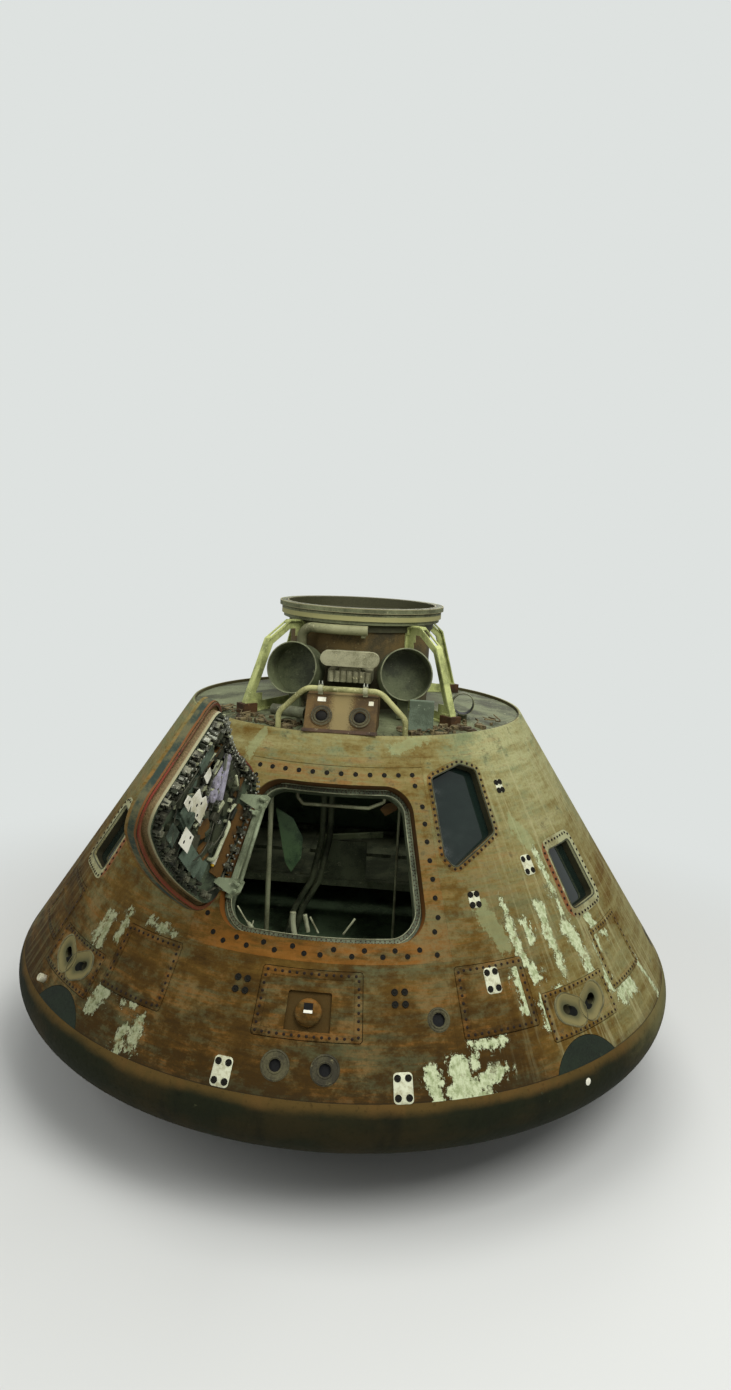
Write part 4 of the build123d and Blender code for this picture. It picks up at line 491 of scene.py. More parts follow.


# Four-hole plates where the tower and the cables were held: white metal on the wall, with sockets painted near black
# as the shade in their holes.
# Two of them have lost their plate, and their holes lie in the ablator itself.
def rounded_loop(corners, corner_radius, inset, count=None, pitch=None):
    """Closed outline on the wall from corners of (azimuth, level): each corner is an arc, drawn in by inset.

    It is worked out on the wall laid flat: across from the middle azimuth, and up the slope. It gives
    azimuths and levels of this many points, or of points this pitch apart.
    """
    corners = np.array(corners, float)
    middle = corners.mean(axis=0)
    flat = np.column_stack((
        np.radians(corners[:, 0] - middle[0]) * cone_r(corners[:, 1]),
        (corners[:, 1] - middle[1]) / COS_HALF,
    ))
    back = unit(np.roll(flat, 1, axis=0) - flat)
    front = unit(np.roll(flat, -1, axis=0) - flat)
    halfway = unit(back + front)
    sine = np.sqrt((1 - (back * front).sum(axis=1)) / 2)[:, None]
    cosine = np.sqrt(1 - sine**2)
    arc = max(corner_radius - inset, 0.0005)
    centre = flat + halfway * (inset + arc) / sine
    share = np.linspace(0, 1, 9)[None, :, None]
    side_back, side_front = (-(halfway - side * cosine) / sine for side in (back, front))
    spoke = unit(side_back[:, None] * (1 - share) + side_front[:, None] * share)
    loop = (centre[:, None] + arc * spoke).reshape(-1, 2)
    loop = np.vstack((loop, loop[:1]))
    run = np.concatenate(((0,), np.cumsum(np.linalg.norm(np.diff(loop, axis=0), axis=1))))
    at = np.linspace(0, run[-1], count or int(run[-1] / pitch), endpoint=False)
    across, up = np.interp(at, run, loop[:, 0]), np.interp(at, run, loop[:, 1])
    level = middle[1] + up * COS_HALF
    return middle[0] + np.degrees(across / cone_r(level)), level


def wall_strip(corners, corner_radius, profile, count=240, closed=True):
    """Frame on the wall: a profile of (inset, proud) carried round the outline; an open one is a plate."""
    loops = [wall_points(*rounded_loop(corners, corner_radius, inset, count), proud) for inset, proud in profile]
    return skin(loops, closed)


def square_corners(a_low, a_high, z_low, z_high):
    """Corners of an outline between two azimuths and two levels."""
    return (a_low, z_low), (a_high, z_low), (a_high, z_high), (a_low, z_high)


# azimuth, level, width across, height up the slope, whether a plate lies under the holes
PLATES = (
    (46.3, 1.823, 0.050, 0.070, True), (45.9, 1.465, 0.075, 0.105, True), (30.0, 1.371, 0.062, 0.080, True),
    (29.9, 1.054, 0.080, 0.120, True), (13.9, 1.023, 0.085, 0.085, False), (-11.1, 1.032, 0.085, 0.085, False),
    (13.7, 0.712, 0.088, 0.128, True), (-11.0, 0.718, 0.088, 0.128, True),
)
PLATE_CORNER = 0.018
# Where the four holes lie, as shares of the half width and half height
HOLE_ACROSS, HOLE_UP = 0.56, 0.62
HOLE_PROFILE = (
    (0.0155, 0.0005), (0.0155, 0.0042), (0.0140, 0.0050), (0.0115, 0.0044),
    (0.0105, 0.0030), (0.0052, 0.0030), (0.0048, 0.0042), (0.0020, 0.0046),
)
plate_white = Finish("white_plate")
chalk = plate_white.cloud(30.0, detail=6.0, rough=0.65)
white = plate_white.mix(chalk.step(0.45, 0.7), (196, 198, 168), (150, 146, 112))
plate_white.wear(Base_Color=white, Roughness=chalk * 0.3 + 0.45)
hole_places = []
for number, (a, z, width, height, plated) in enumerate(PLATES):
    half_a = np.degrees(width / 2 / cone_r(z))
    half_z = height / 2 * COS_HALF
    if plated:
        corners = square_corners(a - half_a, a + half_a, z - half_z, z + half_z)
        profile = ((0.0, -0.001), (0.0, 0.0015), (0.0012, 0.0025), (min(width, height) * 0.42, 0.0025))
        plate = wall_strip(corners, PLATE_CORNER, profile, count=48, closed=False)
        carried(f"four_hole_plate_{number}", plate_white, plate)
    hole_places += [(a + s * half_a * HOLE_ACROSS, z + t * half_z * HOLE_UP) for s in (-1, 1) for t in (-1, 1)]
carried("plate_bolts", socket, on_wall(np.array(hole_places).T, HOLE_PROFILE, 20))


# Rims of the covers: strips of ablator bolted down with a row of small dark bolts.
# Each lies a little proud of the wall round its cover, and both its edges are cut back.
def ridge(near, far, foot, top, cut=0.001, drop=0.001):
    """Profile of a strip from near to far and from foot to top, with its upper edges cut back."""
    return (near, foot), (near, top - drop), (near + cut, top), (far - cut, top), (far, top - drop), (far, foot)


# name, azimuths, levels, strip's width
PAIRED_RIMS = (
    ("access", 23.3, 36.6, 0.8531, 1.1241, 0.042),
    ("roll", 38.2, 54.3, 0.7718, 0.9618, 0.030),
    ("side", 55.6, 69.0, 0.8481, 1.1161, 0.038),
)
COVER_RIMS = [("centre", -8.2, 8.2, 0.8615, 1.1181, 0.040)]
for name, near, far, *rest in PAIRED_RIMS:
    COVER_RIMS += [(f"{part}_{name}", *sorted((side * near, side * far)), *rest) for part, side in SIDES]
RIM_CORNER = 0.018
RIM_EDGE = 0.0035
RIM_PROUD = 0.0022
RIVET_STEP = 0.034
RIVET_PROFILE = ((0.0070, 0.0005), (0.0070, 0.0028), (0.0058, 0.0040), (0.0026, 0.0046))
RIVET_SIDES = 10

rim_finish = ablator("cover_rim", glow=0.05, lift=-0.10)
rivet = speckled("small_bolt", 70.0, (16, 12, 7), (42, 29, 17), 0.5)
rivets = []
for name, a_low, a_high, z_low, z_high, width in COVER_RIMS:
    corners = square_corners(a_low, a_high, z_low, z_high)
    profile = ridge(RIM_EDGE, width, 0.0, RIM_PROUD, drop=0.0007)
    carried(name + "_cover_rim", rim_finish, wall_strip(corners, RIM_CORNER, profile))
    row = rounded_loop(corners, RIM_CORNER, width / 2, pitch=RIVET_STEP)
    rivets.append(on_wall(row, RIVET_PROFILE, RIVET_SIDES))
carried("cover_bolts", rivet, *rivets)


# Ports: rings of fused silica and steel let into the wall, grey with soot, each round a deep black bore.
# They are the mouths of the pitch and yaw engines, and one vent; the roll engines fire through the dishes.
def worn(name, ground, grime, chip, roughness=0.6, metallic=0.0, scale=1.0, hatch=False):
    """Painted or bare metal: grime in broad clouds over the ground colour, and chips in small ones."""
    finish = Finish(name, metallic=metallic, hatch=hatch, shine=0.3)
    chips = finish.cloud(13.0 * scale, detail=8.0, rough=0.72)
    fine = finish.fine = finish.cloud(60.0 * scale)
    broad = finish.cloud(2.6 * scale, detail=6.0, rough=0.62) + (fine - 0.5) * 0.25
    finish.colour = finish.mix(broad.step(0.40, 0.64), ground, grime)
    finish.coat(chips.step(0.60, 0.68), chip)
    finish.coat(fine.step(0.50, 0.80) * 0.35, grime)
    return finish.wear(Roughness=fine * 0.3 + (roughness - 0.12)).relief(fine * 0.5 + chips * 0.4, 0.0012)


def worn_pieces(*rows):
    """Put worn finishes on pieces: rows of name, ground, grime, chip, roughness, scale and the pieces."""
    for name, ground, grime, chip, roughness, scale, *pieces in rows:
        worn(name, ground, grime, chip, roughness, scale=scale).on(*pieces)


# azimuth, level, outer radius, bore radius
PORTS = ((-3.8, 0.76919, 0.066, 0.027), (3.1, 0.76919, 0.066, 0.027), (19.7, 0.93809, 0.054, 0.030))
LIP_PROFILE = np.array((
    (0.0, 0.0), (0.0, 0.0016), (0.0015, 0.0030), (0.0045, 0.0030), (0.0065, 0.0010), (0.0065, 0.0),
))
ring_grey = worn("port_ring", (80, 76, 50), (46, 43, 28), (108, 102, 72), roughness=0.75, scale=2.0)
# The ring goes black deeper into the wall: painted shade down each bore.
ring_grey.coat(ring_grey.depth.step(0.002, 0.010), (8, 9, 8)).on("wall_ports", "yaw_ports")
for number, (a, z, outer, bore) in enumerate(PORTS):
    for part, start in (("outer", outer - 0.009), ("inner", bore + 0.003)):
        lip = on_wall((a, z), LIP_PROFILE + (start, 0.0), 48, hollow=True)
        carried(f"port_{part}_lip_{number}", ring_grey, lip)


# Roll engine panels: ablator with two shallow dishes that meet in a heart, each round a slanting engine mouth.
# The dishes are grey-green with soot, and a raised line runs round each; a dark antenna cover lies below.
def swung(first, second, angle):
    """Two directions square to each other, or lengths along them, turned in their plane by an angle."""
    cosine, sine = float(np.cos(angle)), float(np.sin(angle))
    return first * cosine + second * sine, second * cosine - first * sine


def wall_seat(azimuth, level, proud=0.0):
    """Foot and directions (across, up, outwards) of a place on the wall."""
    a = np.radians(azimuth)
    across = np.array((np.cos(a), np.sin(a), 0.0))
    outward = wall_normals(azimuth)
    return wall_points(azimuth, level, proud), across, np.cross(outward, across), outward


ROLL_MIDDLE = (46.25, 0.8668)
DISH_SPREAD = 0.082
DISH_TURN = 28.0
DISH_HALF_RUN = 0.035
MOUTH_SHIFT = 0.018
LINE_REACH = 0.072
LINE_STEPS = 28
LINE_PROFILE = ((-0.003, 0.0), (-0.002, 0.003), (0.002, 0.003), (0.003, 0.0), (0.0, -0.002))

roll = ablator("roll_panel", glow=0.06, inside=None)
origin, across, up, outward = wall_seat(*ROLL_MIDDLE)
shift = [tone - float(start) for tone, start in zip((abs(roll.x), roll.y, roll.z), origin)]
u, v = (sum(tone * float(part) for tone, part in zip(shift, line)) for line in (across, up))
for side in (-1, 1):
    along, aside = swung(u - side * DISH_SPREAD, v, np.radians(side * DISH_TURN))
    gap = (abs(along) - DISH_HALF_RUN).either(0.0).hypot(aside)
    dish = roll.mix(gap.step(0.056, 0.018) * 0.75, (116, 108, 70), (56, 60, 42))
    roll.coat((gap + (roll.fine - 0.5) * 0.01).step(0.071, 0.067), dish)
    # Each engine mouth is a black ellipse painted on the panel: painted shade down the slanting mouth.
    mouth = ((along + side * MOUTH_SHIFT) ** 2.0 * 0.45 + aside * aside) ** 0.5
    roll.coat(mouth.step(0.0245, 0.0225), (14, 16, 12))
roll.on("roll_engine_panels")
turn = np.linspace(-np.pi / 2, np.pi / 2, LINE_STEPS)
far_end = np.column_stack((DISH_HALF_RUN + LINE_REACH * np.cos(turn), LINE_REACH * np.sin(turn)))
lines = []
for mirror in (1, -1):
    for side in (-1, 1):
        flat_u, flat_v = swung(*np.vstack((far_end, -far_end)).T, -np.radians(side * DISH_TURN))
        flat_u = flat_u + side * DISH_SPREAD
        ring = []
        for width, height in LINE_PROFILE:
            from_middle = flat_u[:, None] * across + flat_v[:, None] * up
            place = origin + from_middle * (1 + width / LINE_REACH) + height * outward
            sag = np.hypot(place[:, 0], place[:, 1]) - cone_r(place[:, 2])
            square = wall_normals(np.degrees(np.arctan2(place[:, 0], -place[:, 1])))
            ring.append((place - (sag * COS_HALF - height)[:, None] * square) * (mirror, 1, 1))
        lines.append(skin(ring[::mirror], closed=True))
dish_line = worn("dish_line", (112, 108, 72), (74, 70, 46), (146, 142, 104), roughness=0.7, scale=3.0)
carried("roll_dish_lines", dish_line, *lines)
worn_pieces(("antenna_char", (24, 34, 20), (17, 24, 14), (36, 46, 30), 0.85, 1.6, "antenna_covers"))


# Vent boss: a domed plug of ablator in the middle cover's square recess, notched above, with a white slot.
# The plug, the slot and the notch are worn as they came back, and the notch is a thin dark sheet: painted shade in
# it, with soot.
def soft_block(seat, size, turn=0.0):
    """Block of this size turned on a seat of (foot, across, up, outwards); its upper edges are cut back."""
    foot, across, up, outward = seat
    side, ahead = swung(across, up, np.radians(turn))
    cut = BLOCK_CUT * min(size)
    square = np.array(((-1, -1), (1, -1), (1, 1), (-1, 1)))
    loops = []
    for inset, height in ((0.0, 0.0), (0.0, size[2] - cut), (cut, size[2])):
        i, j = (square * (size[0] / 2 - inset, size[1] / 2 - inset)).T[:, :, None]
        loops.append(foot + side * i + ahead * j + outward * height)
    return skin(loops)


BLOCK_CUT = 0.12
BOSS_LEVEL = 0.9623
SLOT_WHITE = worn("slot_white", (226, 224, 206), (180, 176, 146), (200, 196, 170), roughness=0.5, scale=3.0)
# Near black for the notch, the plates' holes and the engine mouths: painted shade in them, with soot.
SOOT_AND_HOLE_SHADE = worn("soot", (14, 14, 12), (24, 22, 16), (40, 36, 26), roughness=0.9, scale=3.0)
ablator("boss_ablator", glow=0.12, lift=0.06, inside=(92, 58, 24)).on("vent_boss")
for name, finish, rise, proud, size in (
    ("boss_slot", SLOT_WHITE, 0.002, 0.0200, (0.040, 0.013, 0.003)),
    ("boss_notch", SOOT_AND_HOLE_SHADE, 0.024, 0.0196, (0.042, 0.030, 0.001)),
):
    seat = wall_seat(0.0, BOSS_LEVEL + rise * COS_HALF, proud)
    carried(name, finish, soft_block(seat, size), smooth=False)


# A round pale plug in the shield's rim, and the tube fitting that stands out of the wall on the left.
# Both are white metal: the plug closes a hole in the char, and the fitting is an open socket.
def aimed(azimuth, elevation):
    """Direction at an azimuth and an elevation in degrees."""
    a, e = np.radians((azimuth, elevation))
    return np.array((np.sin(a) * np.cos(e), -np.cos(a) * np.cos(e), np.sin(e)))


RIM_MIDDLE_RADIUS, RIM_MIDDLE_LEVEL = 1.760, 0.5531
RIM_ROUNDING = 0.196
PLUG_AZIMUTH, PLUG_LIFT = 42.3, 11.0
PLUG_PROFILE = ((0.017, -0.004), (0.017, 0.0005), (0.016, 0.0012), (0.004, 0.0014))
outward = aimed(PLUG_AZIMUTH, PLUG_LIFT)
place = RIM_MIDDLE_RADIUS * aimed(PLUG_AZIMUTH, 0.0) + (0.0, 0.0, RIM_MIDDLE_LEVEL) + RIM_ROUNDING * outward
carried("shield_plug", SLOT_WHITE, turned_pieces(place, outward, PLUG_PROFILE, 28))
TUBE_PLACE = (-50.9, 0.720)
TUBE_PROFILE = ((0.020, -0.002), (0.020, 0.034), (0.018, 0.036), (0.013, 0.036), (0.012, 0.030), (0.004, 0.030))
carried("left_tube_fitting", SLOT_WHITE, on_wall(TUBE_PLACE, TUBE_PROFILE, 28))

# Windows: thick dark panes in frames of ablator that small bolts hold to the wall, a dull gasket round each.
# The forward frames are rusty like the wall, and the side ones are worn to pale metal.
FORWARD_GLASS = ((25.8, 1.8941), (35.1, 1.9471), (39.9, 1.9151), (39.6, 1.6321), (27.3, 1.5071), (25.5, 1.5581))
SIDE_GLASS = ((54.4, 1.4931), (65.4, 1.4931), (65.4, 1.2251), (54.4, 1.2251))
WINDOW_CORNER = 0.026
# name, outline, how far out the row of bolts lies, number of bolts
WINDOWS = (("forward_window", FORWARD_GLASS, 0.017, 46), ("side_window", SIDE_GLASS, 0.040, 40))

ablator("window_frame_ablator", glow=0.08, lift=-0.14).on("forward_window_frames")
frame_pale = worn("side_frame", (150, 150, 112), (112, 104, 66), (176, 180, 146), roughness=0.7, scale=1.5)
near_side = abs(frame_pale.azimuth) + (frame_pale.fine - 0.5) * 1.6
frame_pale.coat(near_side.step(53.9, 53.5), (112, 70, 34))
# The frame darkens deeper into the window's opening: painted shade.
frame_pale.coat(frame_pale.depth.step(0.016, 0.022), INSIDE_SHADE).on("side_window_frames")
gasket = worn("dull_gasket", (74, 76, 54), (44, 44, 30), (110, 108, 78), roughness=0.7, scale=3.0)
glass = Finish("dark_glass")
film = glass.cloud(5.0, (1, 1, 2.0), 5.0)
glass.wear(
    Base_Color=glass.mix(film, (8, 18, 16), (26, 38, 32)),
    Roughness=film.step(0.4, 0.8) * 0.16 + 0.05,
    Coat_Weight=0.4,
)
glass.on("forward_window_panes", "side_window_panes", "hatch_window_glass")
bolts = []
for name, outline, row, count in WINDOWS:
    for part, side in SIDES:
        corners = [(side * a, z) for a, z in outline][::-side]
        profile = ridge(-0.006, 0.001, -0.001, 0.0024, drop=0.0008)
        carried(f"{part}_{name}_gasket", gasket, wall_strip(corners, WINDOW_CORNER, profile))
        places = rounded_loop(corners, WINDOW_CORNER, -row, count)
        bolts.append(on_wall(places, RIVET_PROFILE, RIVET_SIDES))
carried("window_bolts", rivet, *bolts)

# Doorway frame: a ring of bare machined metal deep in the doorway, held by close rows of small screws.
# Thin pale sealing strips run round it.
DOOR_HALF_TURN = 19.7
DOOR_SILL, DOOR_TOP = 1.2241, 1.8631
DOOR_CORNERS = square_corners(-DOOR_HALF_TURN, DOOR_HALF_TURN, DOOR_SILL, DOOR_TOP)
DOOR_CORNER = 0.150
DOOR_FRAME_DEPTH = 0.066
SCREW_PROFILE = ((0.0036, -0.0005), (0.0036, 0.0012), (0.0026, 0.0020), (0.0010, 0.0022))

bare = worn("doorway_metal", (96, 104, 80), (58, 64, 46), (138, 140, 110), roughness=0.55, metallic=0.2, scale=2.0)
bare.on("doorway_frame")
pale_strip = worn("gasket", (150, 154, 122), (98, 98, 70), (182, 184, 152), roughness=0.6, scale=3.0)
for name, start in (("outer", 0.001), ("inner", 0.0272)):
    profile = ridge(start, start + 0.004, -DOOR_FRAME_DEPTH, 0.004 - DOOR_FRAME_DEPTH)
    carried(f"doorway_{name}_strip", pale_strip, wall_strip(DOOR_CORNERS, DOOR_CORNER, profile))
screws = []
for inset, pitch in ((0.010, 0.016), (0.020, 0.024)):
    places = rounded_loop(DOOR_CORNERS, DOOR_CORNER, inset, pitch=pitch)
    screws.append(on_wall(places, SCREW_PROFILE, 8, -DOOR_FRAME_DEPTH))
screw_dark = worn("dark_screw", (70, 52, 34), (40, 30, 20), (120, 110, 84), metallic=0.3, scale=4.0)
carried("doorway_screws", screw_dark, *screws)


# Side hatch: an ablator shell, a red rubber seal and a machined inner plate with the latch linkage on it.
# It hangs on two hinges at the doorway's left edge and stands open, so its worn inside faces out.
def door_inset(finish):
    """Distance in from the doorway's outline on the wall laid flat, whose corners are arcs.

    With q the distances past the inner rectangle across and up, it is
    r - sqrt(max(qx, 0)^2 + max(qy, 0)^2) - min(max(qx, qy), 0).
    """
    level = finish.z + finish.depth * SIN_HALF
    past_side = DOOR_CORNER - (DOOR_HALF_TURN - abs(finish.azimuth)) * (cone_r(level) / DEGREES)
    reach = (DOOR_TOP - DOOR_SILL) / 2
    past_end = (abs(level - (DOOR_SILL + reach)) - reach) / COS_HALF + DOOR_CORNER
    corner = past_side.either(0.0).hypot(past_end.either(0.0))
    return DOOR_CORNER - corner - past_side.either(past_end).both(0.0)


shell = ablator("hatch_ablator", glow=0.04, hatch=True, inside=None)
depth = shell.depth
streaks = shell.cloud(9.0, (1, 1, 1), 9.0, 0.75)
teal = shell.mix(streaks.step(0.42, 0.62), (42, 54, 46), (86, 84, 58))
shell.coat((depth + (streaks - 0.5) * 0.02).step(0.010, 0.016), teal)
shell.coat((depth + (streaks - 0.5) * 0.01).step(0.040, 0.046), (104, 66, 34))
inner = shell.mix(streaks.step(0.42, 0.60), (96, 80, 48), (66, 54, 32))
shell.coat(depth.step(0.0500, 0.0515), inner).on("hatch_shell")

# The seal is a rubber strip with a red crest; the inner plate's side is tan, and cream where it meets the face.
seal = worn("hatch_seal", (92, 68, 40), (54, 38, 24), (120, 92, 58), roughness=0.8, scale=2.0, hatch=True)
seal.coat(seal.z.step(1.50, 1.34) * 0.6, (112, 56, 26))
crest = abs(door_inset(seal) - 0.0205) + (seal.fine - 0.5) * 0.006
seal.coat(crest.step(0.0028, 0.0014), (110, 44, 28)).on("hatch_seal")
plate = worn(
    "hatch_plate", (74, 84, 64), (34, 38, 28), (128, 132, 104), roughness=0.55, metallic=0.1, scale=2.6, hatch=True,
)
edge = plate.mix(plate.fine.step(0.40, 0.62), (122, 102, 66), (92, 76, 46))
edge = plate.mix((plate.depth + (plate.fine - 0.5) * 0.01).step(0.077, 0.083), edge, (146, 142, 108))
plate.coat(plate.depth.step(0.0920, 0.0912), edge).on("hatch_inner_plate")
BRIGHT = worn("bright_steel", (150, 152, 136), (54, 54, 42), (206, 206, 194), roughness=0.42, metallic=0.5, scale=5.0)
DULL = worn("dull_steel", (74, 74, 58), (32, 32, 22), (122, 120, 94), roughness=0.55, metallic=0.3, scale=5.0)
PALE = worn("pale_fitting", (168, 172, 138), (104, 104, 76), (202, 202, 172), roughness=0.55, scale=4.0)
BROWN_PAD = worn("brown_pad", (84, 58, 18), (52, 38, 14), (112, 86, 40), roughness=0.8, scale=3.0)
SMOKED = worn("smoked_metal", (52, 56, 38), (26, 28, 17), (92, 92, 66), scale=5.0)
GREEN_PLATE = worn("green_plate", (84, 98, 82), (48, 56, 44), (126, 136, 112), roughness=0.55, scale=3.0)
BRACKET = worn("hinge_bracket", (132, 142, 112), (84, 90, 66), (176, 180, 148), roughness=0.55, scale=3.0)
lever = worn("anodised", (176, 172, 186), (116, 112, 116), (204, 202, 210), roughness=0.45, metallic=0.2, scale=3.0)
# The latches' dark grime is partly real grime and partly painted shade between the crowded latches.
latch = worn("latch_steel", (112, 112, 92), (44, 44, 32), (176, 176, 156), roughness=0.45, metallic=0.4, scale=7.0)
latch.on("hatch_latches")
lever.on("hatch_lever")
PALE.on("hatch_handle")
BRACKET.on("hinge_brackets")
BROWN_PAD.on("hatch_vent_valve")
GREEN_PLATE.on("hatch_gearbox")
PLATE_DEPTH = 0.0925


def opened(points):
    """Points of the closed hatch as it stands: p cos t + (k x p) sin t + k (k.p)(1 - cos t) about the hinge."""
    line = unit(np.array(HINGE_LINE))
    arm = np.asarray(points) - HINGE_PLACE
    along = (arm @ line)[..., None] * line
    cosine, sine = np.cos(-OPEN_ANGLE), np.sin(-OPEN_ANGLE)
    return HINGE_PLACE + arm * cosine + np.cross(line, arm) * sine + along * (1 - cosine)


def hung(name, finish, *shapes, smooth=False):
    """New piece on the hatch: its shapes are made on the closed one and opened with it."""
    points, faces = joined(shapes)
    carried(name, finish, (opened(points), faces), body="hatch", smooth=smooth)


def plate_seat(azimuth, height, lift=0.0):
    """Foot and directions (across, up, inwards) of a place on the closed hatch's inner plate."""
    foot, across, up, outward = wall_seat(azimuth, DOOR_SILL + height, -PLATE_DEPTH - lift)
    return foot, across, up, -outward


def plate_block(azimuth, height, size, turn=0.0, lift=0.0):
    """Block on the hatch's inner plate, turned on it."""
    return soft_block(plate_seat(azimuth, height, lift), size, turn)


def prism(foot, first, second, outline, through):
    """Flat plate from an outline of (first, second) lengths at its foot, as thick as its way through."""
    along, aside = np.array(outline).T[:, :, None]
    flat = foot + along * first + aside * second
    return skin((flat + through, flat))


def tube(line, radius, sides=10):
    """Round bar along a line of points whose corners are cut three times over, a ring square to each step."""
    line = np.array(line, float)
    for _ in range(3):
        near, far = line[:-1] * 0.75 + line[1:] * 0.25, line[:-1] * 0.25 + line[1:] * 0.75
        line = np.concatenate((line[:1], np.stack((near, far), axis=1).reshape(-1, 3), line[-1:]))
    run = unit(np.gradient(line, axis=0))
    u = unit(np.cross(run, np.eye(3)[np.argmin(np.abs(run).max(axis=0))]))
    return skin(line[:, None] + radius * circles(u, np.cross(run, u), sides))


# Linkage and small fittings that crowd the plate: rollers, links, bolts and clips in rows round its edge,
# save by the hinges, and boxes, brackets and links strewn over its middle.
HINGE_SIDE = -11.0
SMOKED_BELOW = 0.22
SMOKED_KINDS = ("smoked", "smoked", "smoked", "dull")
CLEAN_KINDS = ("bright", "dull", "bright", "smoked", "pale")
# inset, number, smallest and largest size
EDGE_ROWS = (
    (0.066, 84, (0.006, 0.008, 0.006), (0.014, 0.020, 0.030)),
    (0.086, 84, (0.006, 0.010, 0.012), (0.018, 0.034, 0.046)),
    (0.108, 40, (0.008, 0.012, 0.008), (0.022, 0.050, 0.034)),
)
# number, (azimuth, height) from and to, kinds, smallest and largest size, turn, lift from and to
STREWN = (
    (34, (-9.0, 0.10), (12.0, 0.54), ("smoked", "smoked", "dull"),
     (0.024, 0.060, 0.006), (0.060, 0.120, 0.022), 50, (0.0, 0.012)),
    (96, (-11.0, 0.20), (13.0, 0.58), ("bright", "dull", "smoked", "smoked", "bright", "pale"),
     (0.006, 0.012, 0.004), (0.022, 0.060, 0.030), 90, (0.0, 0.012)),
    (54, (0.0, 0.20), (13.0, 0.50), ("bright", "bright", "pale"),
     (0.004, 0.024, 0.004), (0.011, 0.085, 0.014), 90, (0.014, 0.030)),
)
FITTINGS = {"bright": BRIGHT, "dull": DULL, "pale": PALE, "smoked": SMOKED}
scatter = np.random.default_rng(11)
bits = {kind: [] for kind in FITTINGS}


def add_bit(azimuth, height, kinds, small, large, turn, lifts):
    """Block on the plate, of a kind, size, turn and lift drawn at random."""
    kind = scatter.choice(kinds)
    size = scatter.uniform(small, large)
    bits[kind].append(plate_block(azimuth, height, size, scatter.uniform(-turn, turn), scatter.uniform(*lifts)))


for inset, count, small, large in EDGE_ROWS:
    for a, z in zip(*rounded_loop(DOOR_CORNERS, DOOR_CORNER, inset, count)):
        kinds = SMOKED_KINDS if z - DOOR_SILL < SMOKED_BELOW else CLEAN_KINDS
        if a >= HINGE_SIDE:
            add_bit(a, z - DOOR_SILL, kinds, small, large, 60, (0.0, 0.008))
for count, low, high, *rest in STREWN:
    for _ in range(count):
        add_bit(*scatter.uniform(low, high), *rest)
for kind, finish in FITTINGS.items():
    hung(f"hatch_{kind}_fittings", finish, *bits[kind])
pins = []
for inset, count, reach in ((0.074, 100, 0.034), (0.098, 70, 0.040), (0.122, 50, 0.024)):
    places = np.array(rounded_loop(DOOR_CORNERS, DOOR_CORNER, inset, count))
    a, z = places[:, places[1] > DOOR_SILL + SMOKED_BELOW * 0.8]
    neck = reach - 0.004
    profile = ((0.0045, 0.0), (0.0045, neck), (0.0065, neck), (0.0065, reach), (0.0020, reach + 0.001))
    pins.append(turned_pieces(wall_points(a, z, -PLATE_DEPTH), -wall_normals(a), profile, 8))
hung("hatch_pins", BRIGHT, *pins, smooth=True)

# White notched plates over the gearbox, dark green panels, brown pads and strips, and the hinge plates
FITTING_TOP = 0.043
# azimuth, height, outline across and up
WHITE_OUTLINES = (
    (5.4, 0.276, (
        (-0.095, -0.034), (0.045, -0.058), (0.100, -0.020), (0.078, 0.044), (0.012, 0.034), (-0.014, 0.062),
        (-0.068, 0.050),
    )),
    (8.6, 0.372, ((-0.030, -0.020), (0.036, -0.026), (0.030, 0.030), (-0.022, 0.024))),
    (3.0, 0.158, ((-0.060, -0.034), (0.056, -0.046), (0.066, 0.030), (-0.040, 0.040))),
    (10.2, 0.232, ((-0.040, -0.016), (0.046, -0.030), (0.052, 0.010), (-0.020, 0.034))),
)
WHITE_THICK = 0.003
HOLE_RING = ((0.0075, 0.0), (0.0075, 0.0008), (0.002, 0.0010))
HOLES = ((6.6, 0.268), (4.3, 0.250), (5.2, 0.292), (2.4, 0.176), (3.9, 0.142), (10.4, 0.236))
whites, holes = [], []
for a, height, outline in WHITE_OUTLINES:
    foot, across, up, inwards = plate_seat(a, height, FITTING_TOP)
    whites.append(prism(foot, across, up, outline, WHITE_THICK * inwards))
for a, height in HOLES:
    foot, _, _, inwards = plate_seat(a, height, FITTING_TOP + 0.0028)
    holes.append(turned_pieces(foot, inwards, HOLE_RING, 14))
hung("hatch_white_plates", SLOT_WHITE, *whites)
# The dark discs on the white plates stand for their holes: painted shade.
hung("hatch_plate_holes", SOOT_AND_HOLE_SHADE, *holes, smooth=True)
# azimuth, height, size, turn, lift
PANELS = (
    (-3.0, 0.135, (0.200, 0.090, 0.004), 4.0, 0.026), (8.0, 0.120, (0.100, 0.070, 0.006), -8.0, 0.026),
    (12.4, 0.400, (0.060, 0.120, 0.010), 0.0, 0.026),
)
STRIPS = (
    (-13.9, 0.300, (0.084, 0.350, 0.010), 2.0, 0.004), (-9.0, 0.500, (0.030, 0.110, 0.012), 2.0, 0.004),
    (7.6, 0.470, (0.028, 0.140, 0.014), 12.0, 0.004), (-6.4, 0.190, (0.070, 0.070, 0.022), 30.0, 0.004),
)
hung("hatch_green_panels", GREEN_PLATE, *(plate_block(*panel) for panel in PANELS))
hung("hatch_brown_strips", BROWN_PAD, *(plate_block(*strip) for strip in STRIPS))

# Each hinge arm is a flat wedge that stands up from the plate and widens to its pin; a bar joins the pins.
# Height and azimuth of each arm's foot on the plate
ARMS = ((0.144, -15.0), (0.479, -12.6))
